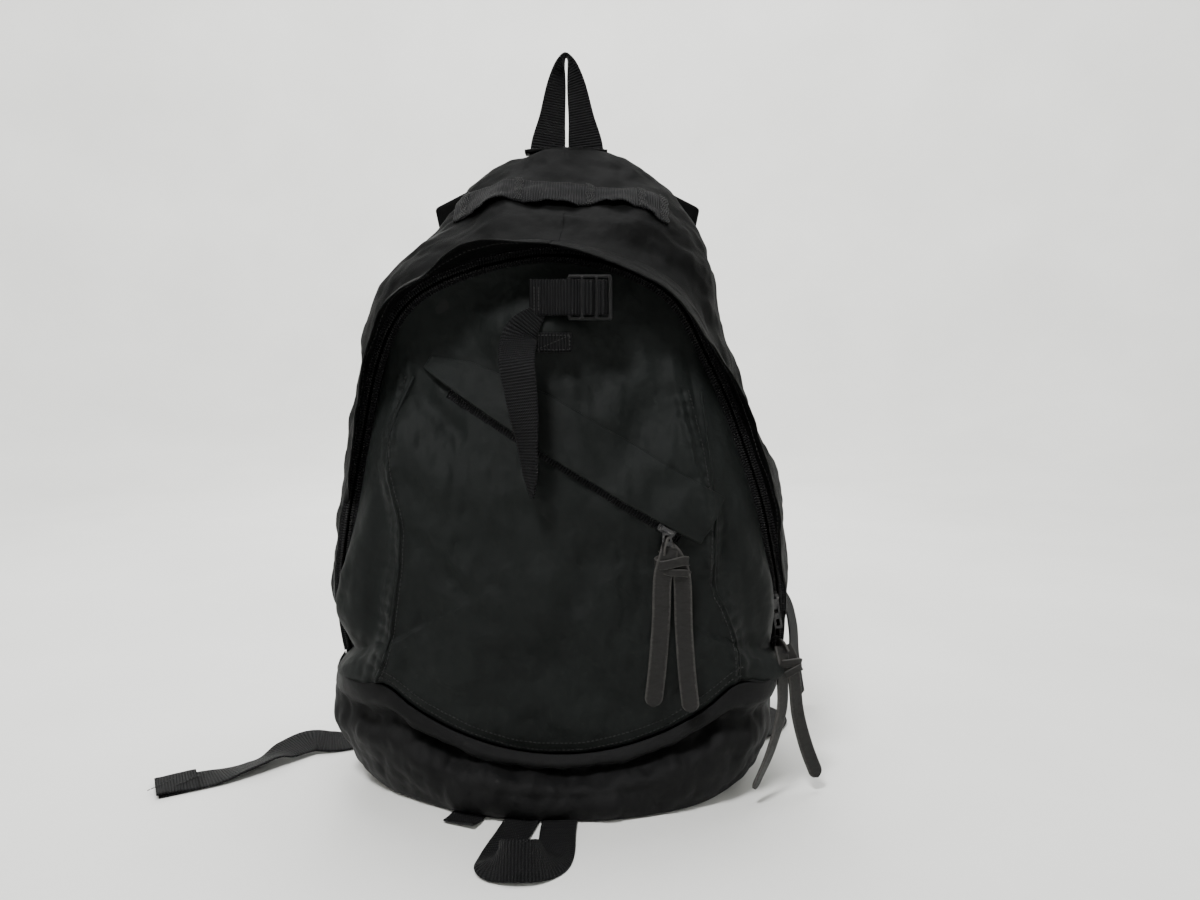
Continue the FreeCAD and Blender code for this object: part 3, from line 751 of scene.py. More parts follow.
def make_base():
    top = settle(bottom_seam())
    count = len(top)
    s = np.linspace(-1, 1, count)
    foot = curve_through(BASE_FOOT, 1.0)
    foot = foot[np.linspace(0, len(foot) - 1, count).astype(int)]
    out = unit(plan_normals(top) + plan_normals(foot))
    t = np.concatenate([np.linspace(0, 1, 40), 1 + np.linspace(0.1, 1, 8)])
    bulge = hermite(t, [0, 0.08, 0.17, 0.26, 0.33, 0.42, 0.62, 0.86, 1.0, 1.2, 2.0],
                    [0, 2.0, 1.5, -12.0, -12.5, 1.5, 7.0, 5.0, 0, 0, 0])
    down = np.clip(t, 0, 1)[:, None, None]
    p = top[None] * (1 - down) + foot[None] * down
    under = np.clip(t - 1, 0, 1)[:, None]
    p[..., 1] += under * (-12 - p[..., 1])
    p[..., 0] *= 1 - 0.1 * under
    side = ramp01(np.abs(s), 0.62, 0.95)[None, :]
    uneven = 0.75 + 0.35 * fractal(top * [1, 0, 0], 55.0, 2.0)
    p += out[None] * (bulge[:, None] * (1 - side) * np.where(bulge[:, None] < 0, uneven[None, :], 1))[..., None]
    # Round the corners the base takes the profile of its side.
    for column, sign in ((BASE_SIDE[:, 1], -1), (BASE_SIDE[:, 2], 1)):
        wide = np.interp(p[..., 2], BASE_SIDE[::-1, 0], column[::-1])
        full = np.interp(FOOT_Z, BASE_SIDE[::-1, 0], column[::-1])
        share = p[..., 0] / np.maximum(np.abs(top[-1 if sign > 0 else 0, 0]) * (1 - down[..., 0])
                                       + full * down[..., 0], 1)
        p[..., 0] += np.where(s[None, :] * sign > 0, (share * wide - p[..., 0]) * side * (1 - under), 0)
    p[..., 2] = np.maximum(p[..., 2], 0.5)
    fade = (ramp01(t, 0.0, 0.3) * (1 - ramp01(t, 0.85, 1.0)))[:, None] * edge_fade(3, count, 1, 8)[1]
    p = rumple(p, 55.0, 4.0, 12.0, fade)
    p = rumple(p, 30.0, 2.4, 4.0, fade, (1.7, 1, 0.7))
    p = rumple(p, 13.0, 0.45, 14.0, fade)
    p[..., 2] = np.maximum(p[..., 2], 1.6)
    cloth("base_front_cloth", p, "nylon_base", "pack_body", ["base_front_panel"], 1.5, flip=False)
    rows, columns = 24, 150
    low = u_at_height(FOLD_Z + 3, 20)
    u = np.linspace(-low, low, columns)
    t = np.linspace(0, 1, rows)[:, None]
    y = -14 + (BACK_Y + 14) * t
    q = np.where((u < 0)[None, :, None], shell_place(1 + np.minimum(u, 0)[None, :], y),
                 shell_place(np.maximum(u, 0)[None, :], y))
    q = settle(q)
    q[..., 2] = np.maximum(q[..., 2], FOOT_Z)
    q = flank(q)
    q = rumple(q, 50.0, 1.6, 6.0, edge_fade(rows, columns, 4, 8) * ramp01(q[..., 2], 4, 20))
    q[..., 2] = np.maximum(q[..., 2], 1.7)
    cloth("base_cloth", q, "nylon_base", "pack_body", ["base_panel"], 1.6, flip=True)


def teardrop(y, size):
    """A grid that fills the teardrop outline at depth y."""
    count, bottom_right = 480, 0.13
    u = (np.linspace(0, 1, count, endpoint=False) + bottom_right) % 1.0
    rim = settle(shell_place(u, np.full(count, y)))
    rim[:, 2] = np.maximum(rim[:, 2], 1.0)
    r, at = square_map(rim, size)
    middle = np.array([0.0, y, 215.0])
    return middle + (at - middle) * r[..., None], r


def make_back():
    p, r = teardrop(BACK_Y, 90)
    p[..., 1] += 7.0 * np.sqrt(1 - np.clip(r, 0, 1) ** 14) + 1.2 * (1 - r**2)
    p[..., 1] += (1 - r**6) * fractal(p, 60.0, 21.0).reshape(p.shape[:2])
    cloth("back_cloth", p, "pad_fabric", "pack_body", ["back_panel", "back_foam"], 1.4, flip=False)
    q, r = teardrop(BACK_Y, 70)
    q[..., 0] *= 0.985
    q[..., 1] -= 1.5 + 1.0 * (1 - r**4)
    cloth("back_lining_cloth", q, "lining", "pack_body", ["back_lining"], 0.8, flip=True)
    u = np.linspace(0, 1, 150)
    rim = settle(shell_place(u, np.full(150, BACK_Y)))
    rim[:, 2] = np.maximum(rim[:, 2], 2.2)
    piping = curve_through(rim[:-1], 3.0, closed=True)
    tubes("back_seam_piping", [piping + [0, 0.6, 0]], 2.1, "pad_fabric", "pack_body", sides=10)


def make_sleeve():
    rows, columns = 40, 50
    x = np.linspace(-1, 1, columns)[None, :]
    v = np.linspace(0, 1, rows)[:, None]
    z = 32 + 298 * v
    stand = 8.5 * (1 - np.abs(x) ** 5) * (0.35 + 0.65 * v)
    p = np.stack(np.broadcast_arrays(116.0 * x * (1 - 0.12 * (1 - v)), BACK_Y - 2.8 - stand, z), axis=2)
    p = rumple(p, 55.0, 2.0, 14.0, edge_fade(rows, columns, 4, 4))
    p[..., 1] = np.minimum(p[..., 1], BACK_Y - 2.8)
    cloth("inner_sleeve_cloth", p, "lining", "pack_body", ["inner_sleeve"], 0.8, flip=False)
    top = p[-1]
    ribbon("sleeve_top_binding", top[::3] + [0, -0.6, 2], [(0, 0.15, 1)] * len(top[::3]), 10.0, 1.6, "webbing",
           "pack_body", ["sleeve_binding"])


# ---- main zip ----
def zip_line_points(inset, count=520):
    """The coil's line: round the top in the zip's plane, inset from the shell."""
    low = u_at_height(FOLD_Z + 54, -16)
    u = np.linspace(low, 1 - low, count)
    y = front_edge(u)
    rim, inner = shell_place(u, y), shell_place(u, y, INSET)
    p = rim + (inner - rim) * (inset / INSET)
    p[:, 1] = y - 1.2
    return settle(p)


def zip_side(name, inset, toward, body, node):
    """Half of a zip: a woven tape and a row of coil turns along its inner or outer edge."""
    line = zip_line_points(inset)
    other = zip_line_points(inset + toward)
    across = unit(other - line)
    tape_middle = line - across * 2.0
    ribbon(name + "_tape", tape_middle, across, 4.4, 0.9, "webbing", body, [node], step=4.0)
    dense = curve_through(line, 1.9)
    lift = np.array([0, -1.0, 0])
    side = unit(np.stack([np.interp(np.arange(len(dense)), np.linspace(0, len(dense) - 1, len(across)),
                                    across[:, k]) for k in range(3)], axis=1))
    paths = [[c - s * 1.3 + lift * 0.2, c - s * 0.3 + lift, c + s * 1.0 + lift * 0.3]
             for c, s in zip(dense, side)]
    tubes(name + "_coil", paths, 0.55, "coil", body, sides=5)


def make_main_zip():
    zip_side("main_zip_outer", 5.2, 3.0, "pack_body", "main_zip_outer_tape")
    zip_side("main_zip_inner", 8.6, -3.0, "front_door", "main_zip_inner_tape")


# =====================================================================================================
# Front door, pocket, flap and lash strap
# =====================================================================================================
DOOR_MIDDLE_Z = 190.0
# (x, z) of the front pocket's side seams, from the top
LEFT_SEAM = [(-106.0, 312.0), (-119.0, 276.0), (-120.0, 246.0), (-113.0, 214.0), (-113.0, 184.0),
             (-122.0, 122.0), (-134.0, 92.0)]
RIGHT_SEAM = [(101.0, 302.0), (107.0, 240.0), (109.0, 214.0), (109.0, 166.0), (116.0, 149.0),
              (124.0, 128.0), (127.0, 108.0), (127.0, 84.0)]
# Creases of the front pocket: start and end (x, z), width and depth
CREASES = [
    (-112, 216, -46, 142, 6.0, 2.6), (-96, 300, -60, 262, 7.0, 2.4), (-112, 250, -80, 214, 9.0, 2.2),
    (-62, 226, -40, 176, 15.0, 3.0), (-100, 180, -84, 120, 12.0, 2.2), (-30, 120, 30, 92, 18.0, 2.0),
    (-34, 206, 18, 196, 16.0, 3.4), (34, 196, 8, 150, 13.0, 3.2), (62, 176, 44, 118, 12.0, 3.0),
    (96, 176, 70, 118, 10.0, 2.6), (20, 140, -30, 84, 14.0, 1.8), (104, 250, 62, 226, 10.0, 2.2),
    (92, 292, 40, 262, 12.0, 2.6), (-60, 328, -20, 300, 14.0, 2.2), (60, 330, 20, 300, 14.0, 2.4),
    (118, 196, 138, 150, 6.0, 2.6), (126, 240, 118, 186, 6.0, 2.2), (-128, 262, -122, 196, 6.0, 2.2),
    (-130, 180, -126, 128, 7.0, 2.0), (112, 120, 84, 84, 9.0, 2.0), (-112, 110, -70, 78, 8.0, 1.8),
    (-20, 76, -4, 50, 9.0, 1.4), (40, 78, 30, 50, 8.0, 1.4),
]


def door_edge(count=560):
    """The door's closed edge: inside the main zip from the right end round the top, then the bottom seam."""
    low = u_at_height(96, -16)
    u = np.linspace(low, 1 - low, 240)
    y = front_edge(u)
    rim, inner = shell_place(u, y), shell_place(u, y, INSET)
    ring = rim + (inner - rim) * 1.5
    ring[:, 1] = y - 1.0
    seam = bottom_seam()[1:-1]
    corner = ramp01(np.abs(seam[:, 0]), 118, 150)
    seam += np.stack([2.5 * corner * np.sign(seam[:, 0]), -1.5 * corner, -4.0 * corner], axis=1)
    closed = np.vstack([ring, seam, ring[:1]])
    length = run_length(closed)
    at = np.linspace(0, length[-1], count, endpoint=False)
    return np.stack([np.interp(at, length, closed[:, k]) for k in range(3)], axis=1)


def seam_x(z, seam):
    order = sorted((b, a) for a, b in seam)
    return np.interp(z, [b for b, _ in order], [a for _, a in order])


def door_points():
    edge = door_edge()
    r, edge = square_map(edge, 190)
    r = 1 - (1 - r) ** 1.25
    up = (edge[..., 2] - DOOR_MIDDLE_Z) / 206.0
    top = ramp01(up, 0.34, 0.82)
    low = ramp01(-up, 0.30, 0.52)
    side_curve = np.sqrt(np.clip(1 - r**5, 0, 1))
    top_curve = np.clip(1 - r**2.2, 0, 1) ** 2.1
    curve = side_curve * (1 - top) + top_curve * top
    # Low down the sides swell out over the zip, more on the left than on the right.
    overhang = np.where(edge[..., 0] < 0, 0.11, 0.05) * bell((r - 0.90) / 0.13) * (1 - r**30)
    overhang *= ramp01(edge[..., 2], 95, 140) * (1 - ramp01(edge[..., 2], 160, 240))
    x = edge[..., 0] * (r + overhang)
    z = DOOR_MIDDLE_Z + (edge[..., 2] - DOOR_MIDDLE_Z) * r
    y = edge[..., 1] + (FRONT_Y - 2.0 - edge[..., 1]) * curve
    # The bottom rolls under to its seam.
    y = y + low * r**14 * 4.0
    # The upper face swells round the lash buckle.
    y -= 21.0 * bell((x - 4) / 38) * bell((z - 350) / 27)
    # The belly sags forward and low.
    y -= 5.0 * bell((x + 14) / 80) * bell((z - 128) / 62)
    y += 3.0 * bell((x - 46) / 26) * bell((z - 176) / 40)
    # Outside its side seams the pocket falls back into gussets, and the seams stand as puckered ridges.
    for seam, sign in ((LEFT_SEAM, -1), (RIGHT_SEAM, 1)):
        line = seam_x(z, seam)
        outside = (x - line) * sign
        level = ramp01(z, 70, 110) * (1 - ramp01(z, 306, 345))
        y += 6.0 * ramp01(outside, 0, 9) * level
        y -= 2.4 * bell((outside + 3.6) / 3.4) * level
        distance, place, _ = distance_to_line(x, z, seam)
        y += 2.6 * bell(distance / 2.0)
        pucker = np.sin(place / 9.5 * 2 * math.pi + 0.8 * np.sin(place / 17.0))
        y += 0.9 * pucker * bell(outside / 7.0) * level
    for x0, z0, x1, z1, width, depth in CREASES:
        distance, place, _ = distance_to_line(x, z, [(x0, z0), (x1, z1)])
        length = math.hypot(x1 - x0, z1 - z0)
        strength = np.sin(np.clip(place / length, 0.02, 0.98) * math.pi) ** 0.5
        y += strength * depth * (bell(distance / width) - 0.55 * bell((distance - 1.9 * width) / width))
    p = settle(np.stack([x, y, z], axis=2))
    fade = 1 - r**10
    p = rumple(p, 75.0, 3.4, 31.0, fade)
    p = rumple(p, 34.0, 2.2, 17.0, fade, (1.6, 1, 0.7))
    return rumple(p, 13.0, 0.35, 9.0, fade, (0.8, 1, 1.3))


def make_door():
    p = door_points()
    flat = p.reshape(-1, 3)
    depth = (flat[:, 1] - FRONT_Y) * np.sign(flat[:, 0])
    uv = np.stack([flat[:, 0] + 0.8 * depth, flat[:, 2]], axis=1) * MM
    door = cloth("door_cloth", p, "nylon_front", "front_door", ["door_shell", "lash_backing"], 1.4,
                 flip=True, uv=uv)
    r, rim = square_map(settle(door_edge()), 60)
    centre = np.array([0.0, -52.0, DOOR_MIDDLE_Z])
    q = centre + (rim - centre) * (0.985 * r[..., None])
    q[..., 1] = rim[..., 1] + 1.5 + (-58.0 - rim[..., 1]) * (1 - r**3) * 0.5
    q[..., 1] += 1.5 * fractal(q, 60.0, 40.0).reshape(q.shape[:2]) * (1 - r**6)
    cloth("door_lining_cloth", q, "lining", "front_door", ["door_lining"], 0.8, flip=False)
    return door


def on_slit(s, up):
    c, d = math.cos(POCKET_SLOPE), math.sin(POCKET_SLOPE)
    return np.array([SLIT_MIDDLE[0] + c * s - d * up, SLIT_MIDDLE[1] + d * s + c * up])


ZIP_RISE = 3.0            # the zip shows this far above the slit's line, up under the flap
FLAP_S = (-122.0, 110.0)


def flap_low(s):
    """Where the flap's lower edge hangs, above the slit's line."""
    return 1.2 + 3.5 * (s / 115.0) ** 2


def flap_top(s):
    """Where the flap is sewn down, above the slit's line."""
    return float(np.interp(s, [-122, -94, -36, 94, 110], [15, 27, 37, 40, 40]))


def make_flap(tree):
    columns, rows = 110, 18
    s = np.linspace(*FLAP_S, columns)
    t = np.linspace(0, 1, rows)
    p = np.zeros((rows, columns, 3))
    for j, a in enumerate(s):
        top = flap_top(a)
        for i, b in enumerate(t):
            x, z = on_slit(a, top + (flap_low(a) - top) * b)
            p[i, j] = on_front(tree, x, z)
    # Smooth the door's small wrinkles out of the flap along its length, but never go under the door.
    kernel = np.exp(-np.linspace(-2, 2, 9) ** 2)
    kernel /= kernel.sum()
    padded = np.pad(p[..., 1], ((0, 0), (4, 4)), mode="edge")
    smooth = np.stack([np.convolve(row, kernel, mode="valid") for row in padded])
    p[..., 1] = np.minimum(p[..., 1], smooth)
    ends = np.minimum(s - s[0], s[-1] - s) / 14.0
    stand = 0.5 + 4.2 * ramp01(t, 0.25, 1.0)[:, None] * ramp01(ends, 0, 1)[None, :]
    wave = 0.6 * np.sin(s / 21.0)[None, :] * ramp01(t, 0.4, 1.0)[:, None]
    p[..., 1] -= stand + wave * ramp01(ends, 0, 1)[None, :]
    p[..., 1] -= 0.7 * ramp01(t, 0.80, 0.86)[:, None]      # the folded hem
    flap = cloth("pocket_flap_cloth", p, "nylon_front", "front_door", ["pocket_flap"], 1.1)
    face = bvh_of(flap)
    lines = [[on_front(face, *on_slit(a, flap_top(a) - inset), 0.2) for a in np.arange(-38, 104, 6.0)]
             for inset in (3.0, 8.5)]
    lines.append([on_front(face, *on_slit(a, flap_low(a) + 5.5), 0.1) for a in np.arange(-100, 100, 5.0)])
    seams = stitches("pocket_flap_stitches", lines, "front_door", pitch=3.8, length=2.6, radius=0.46)


def make_pocket_zip(tree):
    c, d = math.cos(POCKET_SLOPE), math.sin(POCKET_SLOPE)
    for part, sign in (("upper", 1), ("lower", -1)):
        s = np.linspace(-SLIT_HALF, SLIT_HALF, 40)
        route = [on_front(tree, *on_slit(a, ZIP_RISE + sign * 3.6), 0.5) for a in s]
        ribbon(f"pocket_zip_{part}_tape_cloth", route, [(-d, 0, c)] * len(s), 5.4, 0.8, "webbing", "front_door",
               [f"pocket_zip_{part}_tape"], step=5.0)
        paths = []
        for a in np.arange(-SLIT_HALF, SLIT_HALF, 1.8):
            foot = on_front(tree, *on_slit(a, ZIP_RISE), 1.2)
            across = np.array([-d, 0, c]) * sign
            shift = np.array([c, 0, d]) * (0.45 if sign > 0 else -0.45)
            paths.append([foot + shift + across * 1.9, foot + shift + across * 0.9 + [0, -0.9, 0],
                          foot + shift - across * 0.5])
        tubes(f"pocket_zip_{part}_coil", paths, 0.5, "coil", "front_door", sides=5)


def make_door_stitching(tree):
    lines = []
    for seam, sign in ((LEFT_SEAM, 1), (RIGHT_SEAM, -1)):
        dense = curve_through(np.array([(a, 0, b) for a, b in seam]), 6.0)
        lines.append([on_front(tree, a - 11 * bell((b - 345) / 62) + sign * 2.6, b, 0.15)
                      for a, _, b in dense])
    for rise in (3.2, 9.5):
        x = np.linspace(-131, 131, 60)
        lines.append([on_front(tree, a, float(smile_z(a)) + rise + 0.02 * abs(a), 0.15) for a in x])
    stitches("door_stitching", lines, "front_door", pitch=3.2, radius=0.34)
    for side, seam in (("left", LEFT_SEAM), ("right", RIGHT_SEAM)):
        dense = curve_through(np.array([(a, 0, b) for a, b in seam]), 4.0)
        route = [on_front(tree, a, b, -0.1) for a, _, b in dense]
        tubes(f"pocket_seam_welt_{side}", [route], 1.15, "nylon_front", "front_door", sides=8)


def bar_mesh(x0, x1, y0, y1, z0, z1):
    """Corner points and faces of a block."""
    points = [(x, y, z) for x in (x0, x1) for y in (y0, y1) for z in (z0, z1)]
    faces = [(0, 1, 3, 2), (4, 6, 7, 5), (0, 4, 5, 1), (2, 3, 7, 6), (0, 2, 6, 4), (1, 5, 7, 3)]
    return points, faces


def joined(parts):
    """Several (points, faces) as one."""
    points, faces = [], []
    for part_points, part_faces in parts:
        faces += [tuple(i + len(points) for i in face) for face in part_faces]
        points += [tuple(p) for p in part_points]
    return points, faces


def moulded(name, parts, material, body, nodes=(), bevel=0.8, place=None):
    """Hard piece made of rounded blocks. place moves its points."""
    points, faces = joined(parts)
    points = np.array(points, float)
    if place is not None:
        points = place(points)
    piece = add_piece(name, points, faces, material, body, nodes)
    modifier(piece, "BEVEL", width=bevel * MM, segments=3, limit_method="ANGLE", harden_normals=True)
    return piece


def outline_block(outline, y0, y1):
    """A flat outline of (x, z) points, anticlockwise from the front, given thickness along y."""
    count = len(outline)
    points = [(x, y0, z) for x, z in outline] + [(x, y1, z) for x, z in outline]
    faces = [tuple(range(count)), tuple(reversed(range(count, 2 * count)))]
    faces += [(i, i + count, (i + 1) % count + count, (i + 1) % count) for i in range(count)]
    return points, faces


LASH_Z = 367.0
KEEPER_Z = 329.0


def make_lash(tree):
    y = min(on_front(tree, x, LASH_Z + z)[1] for x in (-21, -14, -6, 2, 10) for z in (-11, 0, 11)) - 2.0
    # Two layers of webbing, sewn to the door at their left end; the front one runs over the buckle's side bar.
    for name, x0, x1, rise, nodes in (("lash_webbing_strap", -19.0, 30.0, [0.0] * 6, ["lash_webbing"]),
                                      ("lash_webbing_fold", -21.0, 14.5, [2.4, 2.6, 3.2, 5.6, 7.4, 5.0], [])):
        route = [(a, y - b, LASH_Z) for a, b in zip(np.linspace(x0, x1, 6), rise)]
        ribbon(name, route, [(0, 0, 1)] * 6, WEBBING, 2.0, "webbing", "front_door", nodes, step=1.5)
    lines = [[(x0, y - 3.8, LASH_Z + z) for z in (-9, 0, 9)] for x0 in (-17.5, -14.5)]
    stitches("lash_webbing_stitches", lines, "front_door", pitch=2.4, length=1.8, radius=0.35)
    # Ladder-lock buckle: a frame with three cross bars, and the webbing wound through it.
    front, back = y - 5.4, y - 1.4
    parts = [bar_mesh(6, 36, front, back, LASH_Z + 13.0, LASH_Z + 15.6),
             bar_mesh(6, 36, front, back, LASH_Z - 15.6, LASH_Z - 13.0)]
    for x0, x1, out in ((5.5, 8.5, 0.0), (14.5, 17.0, 1.2), (24.5, 27.0, 0.6), (33.5, 36.5, 0.0)):
        parts.append(bar_mesh(x0, x1, front - out, back - out * 0.4, LASH_Z - 14.5, LASH_Z + 14.5))
    moulded("lash_buckle_frame", parts, "plastic", "front_door", ["lash_buckle"], bevel=0.8)
    for x0, x1 in ((15.6, 24.4), (26.2, 33.2)):
        route = [(x0, y - 2.2, LASH_Z), (x0 + 1.2, y - 6.6, LASH_Z), ((x0 + x1) / 2, y - 7.6, LASH_Z),
                 (x1 - 1.2, y - 6.6, LASH_Z), (x1, y - 2.2, LASH_Z)]
        ribbon(f"lash_webbing_turn_{int(x0)}", route, [(0, 0, 1)] * 5, WEBBING - 0.6, 1.8, "webbing",
               "front_door", step=0.8)
    keeper = np.array([[on_front(tree, x, z, 1.2) for z in np.linspace(KEEPER_Z, KEEPER_Z + 14.0, 5)]
                       for x in np.linspace(-18, 9, 12)])
    level = keeper[..., 1].min() + 0.6
    keeper[..., 1] = level
    cloth("lash_keeper_webbing", keeper, "webbing", "front_door", ["lash_keeper"], 2.4, flip=True, offset=0.0)
    low, high = KEEPER_Z + 2.0, KEEPER_Z + 12.0
    box = [(-16, low), (7, low), (7, high), (-16, high), (-16, low)]
    lines = [[(x, level - 1.5, z) for x, z in np.linspace(a, b, 5)] for a, b in zip(box, box[1:])]
    lines += [[(x, level - 1.5, z) for x, z in np.linspace((-16, low), (7, high), 6)]]
    stitches("lash_keeper_stitches", lines, "front_door", pitch=2.6, length=1.8, radius=0.35)
    return y


def make_lash_tail(y):
    """The loose end comes out behind the webbing's sewn end, opens to its full width and hangs free."""
    route = [(-13, y - 1.6, LASH_Z - 6), (-17, y - 2.6, LASH_Z - 12), (-23, y - 5.0, LASH_Z - 19),
             (-28, y - 7.0, 339), (-28, -99, 322), (-24.5, -101.5, 296), (-21, -102.5, 266), (-19, -103, 243),
             (-18, -102.5, 231)]
    across = [(0.75, 0.1, -0.6), (0.78, 0.1, -0.6), (0.85, 0.1, -0.5), (0.98, 0.0, -0.1), (0.97, -0.2, 0.0),
              (0.86, -0.45, 0.0), (0.6, -0.75, 0.0), (0.5, -0.83, 0.0), (0.45, -0.85, 0.0)]
    ribbon("lash_tail_webbing", route, across, [10, 14, 21, 25, 25, 25, 24, 18, 5], 1.7, "webbing", "lash_tail",
           ["lash_tail"], step=2.0)


# =====================================================================================================
# Sliders and pulls
# =====================================================================================================
def slider_shape(width, length):
    """Rounded shield: wide shoulders where the coils go in, and a narrow tail."""
    w, h = width / 2, length / 2
    half = [(0.42, -1.0), (0.78, -0.92), (0.92, -0.5), (0.86, 0.05), (1.0, 0.5), (0.88, 0.88), (0.35, 1.0)]
    right = [(w * a, h * b) for a, b in half]
    return right + [(-x, z) for x, z in reversed(right)]


def make_slider(name, middle, along, out, body, nodes, width=9.5, length=13.0):
    """Zip slider: a domed top plate, back plate, post, and an arched bridge that holds the pull."""
    along, out = unit(np.array(along, float)), unit(np.array(out, float))
    across = np.cross(along, out)

    def place(points):
        return np.array(middle) + points[:, :1] * across - points[:, 1:2] * out + points[:, 2:] * along

    parts = [outline_block(slider_shape(width, length), -3.1, -1.6),
             outline_block(slider_shape(width * 0.82, length * 0.8), -3.7, -3.1),
             outline_block(slider_shape(width, length), 1.5, 2.6),
             bar_mesh(-0.8, 0.8, -1.8, 1.8, -1.0, 3.0)]
    for z0, z1, y0, y1 in ((-4.6, -3.2, -6.2, -3.2), (-4.6, 4.6, -7.1, -6.0), (3.2, 4.6, -6.2, -3.2)):
        parts.append(bar_mesh(-1.5, 1.5, y0, y1, z0, z1))
    return moulded(name, parts, "metal", body, nodes, 0.45, place)


def make_tab(name, top, down, out, body, nodes, width=6.5, length=18.0):
    """Flat pull tab with a hole at its far end and an eye at the bridge."""
    down, out = unit(np.array(down, float)), unit(np.array(out, float))
    across = np.cross(down, out)

    def place(points):
        return np.array(top) + points[:, :1] * across - points[:, 1:2] * out + points[:, 2:] * down

    w = width / 2
    parts = [bar_mesh(-w, -w + 1.8, -0.7, 0.7, 0, length), bar_mesh(w - 1.8, w, -0.7, 0.7, 0, length),
             bar_mesh(-w, w, -0.7, 0.7, -1.0, 1.2), bar_mesh(-w, w, -0.7, 0.7, length * 0.36, length * 0.62),
             bar_mesh(-w, w, -0.7, 0.7, length - 2.0, length)]
    return moulded(name, parts, "metal", body, nodes, 0.4, place)


def lace(name, route, across, width, body, nodes=(), thickness=2.3):
    return ribbon(name, route, across, width, thickness, "leather", body, nodes, step=1.6, round_end=True)


def knot_band(name, centre, radii, width, body, tilt=0.0):
    """One turn of lace wrapped round the two tails of a pull."""
    route, across = [], []
    for a in np.linspace(0, 2 * math.pi, 15):
        x, y = radii[0] * math.cos(a), -radii[1] * math.sin(a)
        route.append((centre[0] + x, centre[1] + y, centre[2] + tilt * x + 1.2 * math.sin(2 * a)))
        across.append((-tilt, 0, 1))
    return ribbon(name, route, across, width, 2.2, "leather", body, step=1.2)


def make_pocket_pull(tree):
    x, z = on_slit(84.0, 0.0)
    y = on_front(tree, x, z)[1]
    c, d = math.cos(POCKET_SLOPE), math.sin(POCKET_SLOPE)
    make_slider("pocket_slider_body", (x + 0.8, y - 2.0, z + 1.3), (c, 0, d), (0, -1, 0), "pocket_slider",
                ["pocket_slider"], 8.5)
    make_tab("pocket_slider_tab_ring", (x + 0.5, y - 8.0, z - 1), (0.04, 0.12, -1), (0, -1, 0.1), "pocket_pull",
             ["pocket_slider_tab"], 7.0, 15.0)
    front = -98.0      # depth at which the laces hang
    route = [(x + 3, front + 2.5, z - 11), (x + 0.5, front - 0.5, z - 19), (x - 2.5, front - 0.5, z - 32),
             (x - 3.2, front + 1.0, z - 62), (x - 5.5, front + 1.5, z - 96), (x - 8.5, front + 1.5, z - 124)]
    lace("pocket_pull_lace_left", route, [(1, 0.15, 0.1)] + [(1, 0.1, 0.0)] * 5, 13.0, "pocket_pull",
         ["pocket_leather_pull"])
    route = [(x - 1, front + 4.0, z - 10), (x + 6, front + 2.0, z - 18), (x + 11.0, front + 0.5, z - 32),
             (x + 12.5, front + 1.0, z - 64), (x + 15.0, front + 0.8, z - 98), (x + 18.5, front + 1.2, z - 128)]
    lace("pocket_pull_lace_right", route, [(1, 0.3, 0.1)] + [(1, -0.12, 0.0)] * 5, 12.5, "pocket_pull")
    knot_band("pocket_pull_knot", (x + 4.0, front + 1.6, z - 21), (11.0, 4.6), 6.5, "pocket_pull", 0.05)
    knot_band("pocket_pull_knot_lower", (x + 7.0, front + 1.4, z - 27.5), (9.0, 4.2), 5.0, "pocket_pull", -0.28)
    loop = [(x - 2.5, front + 2.5, z - 19), (x - 1.5, front + 0.5, z - 9), (x + 1.0, front + 3.2, z - 4.0),
            (x + 3.5, front + 5.0, z - 9), (x + 4.5, front + 3.5, z - 19)]
    ribbon("pocket_pull_eye", loop, [(0.3, -1, 0.1)] * 5, 6.0, 2.0, "leather", "pocket_pull", step=1.2)


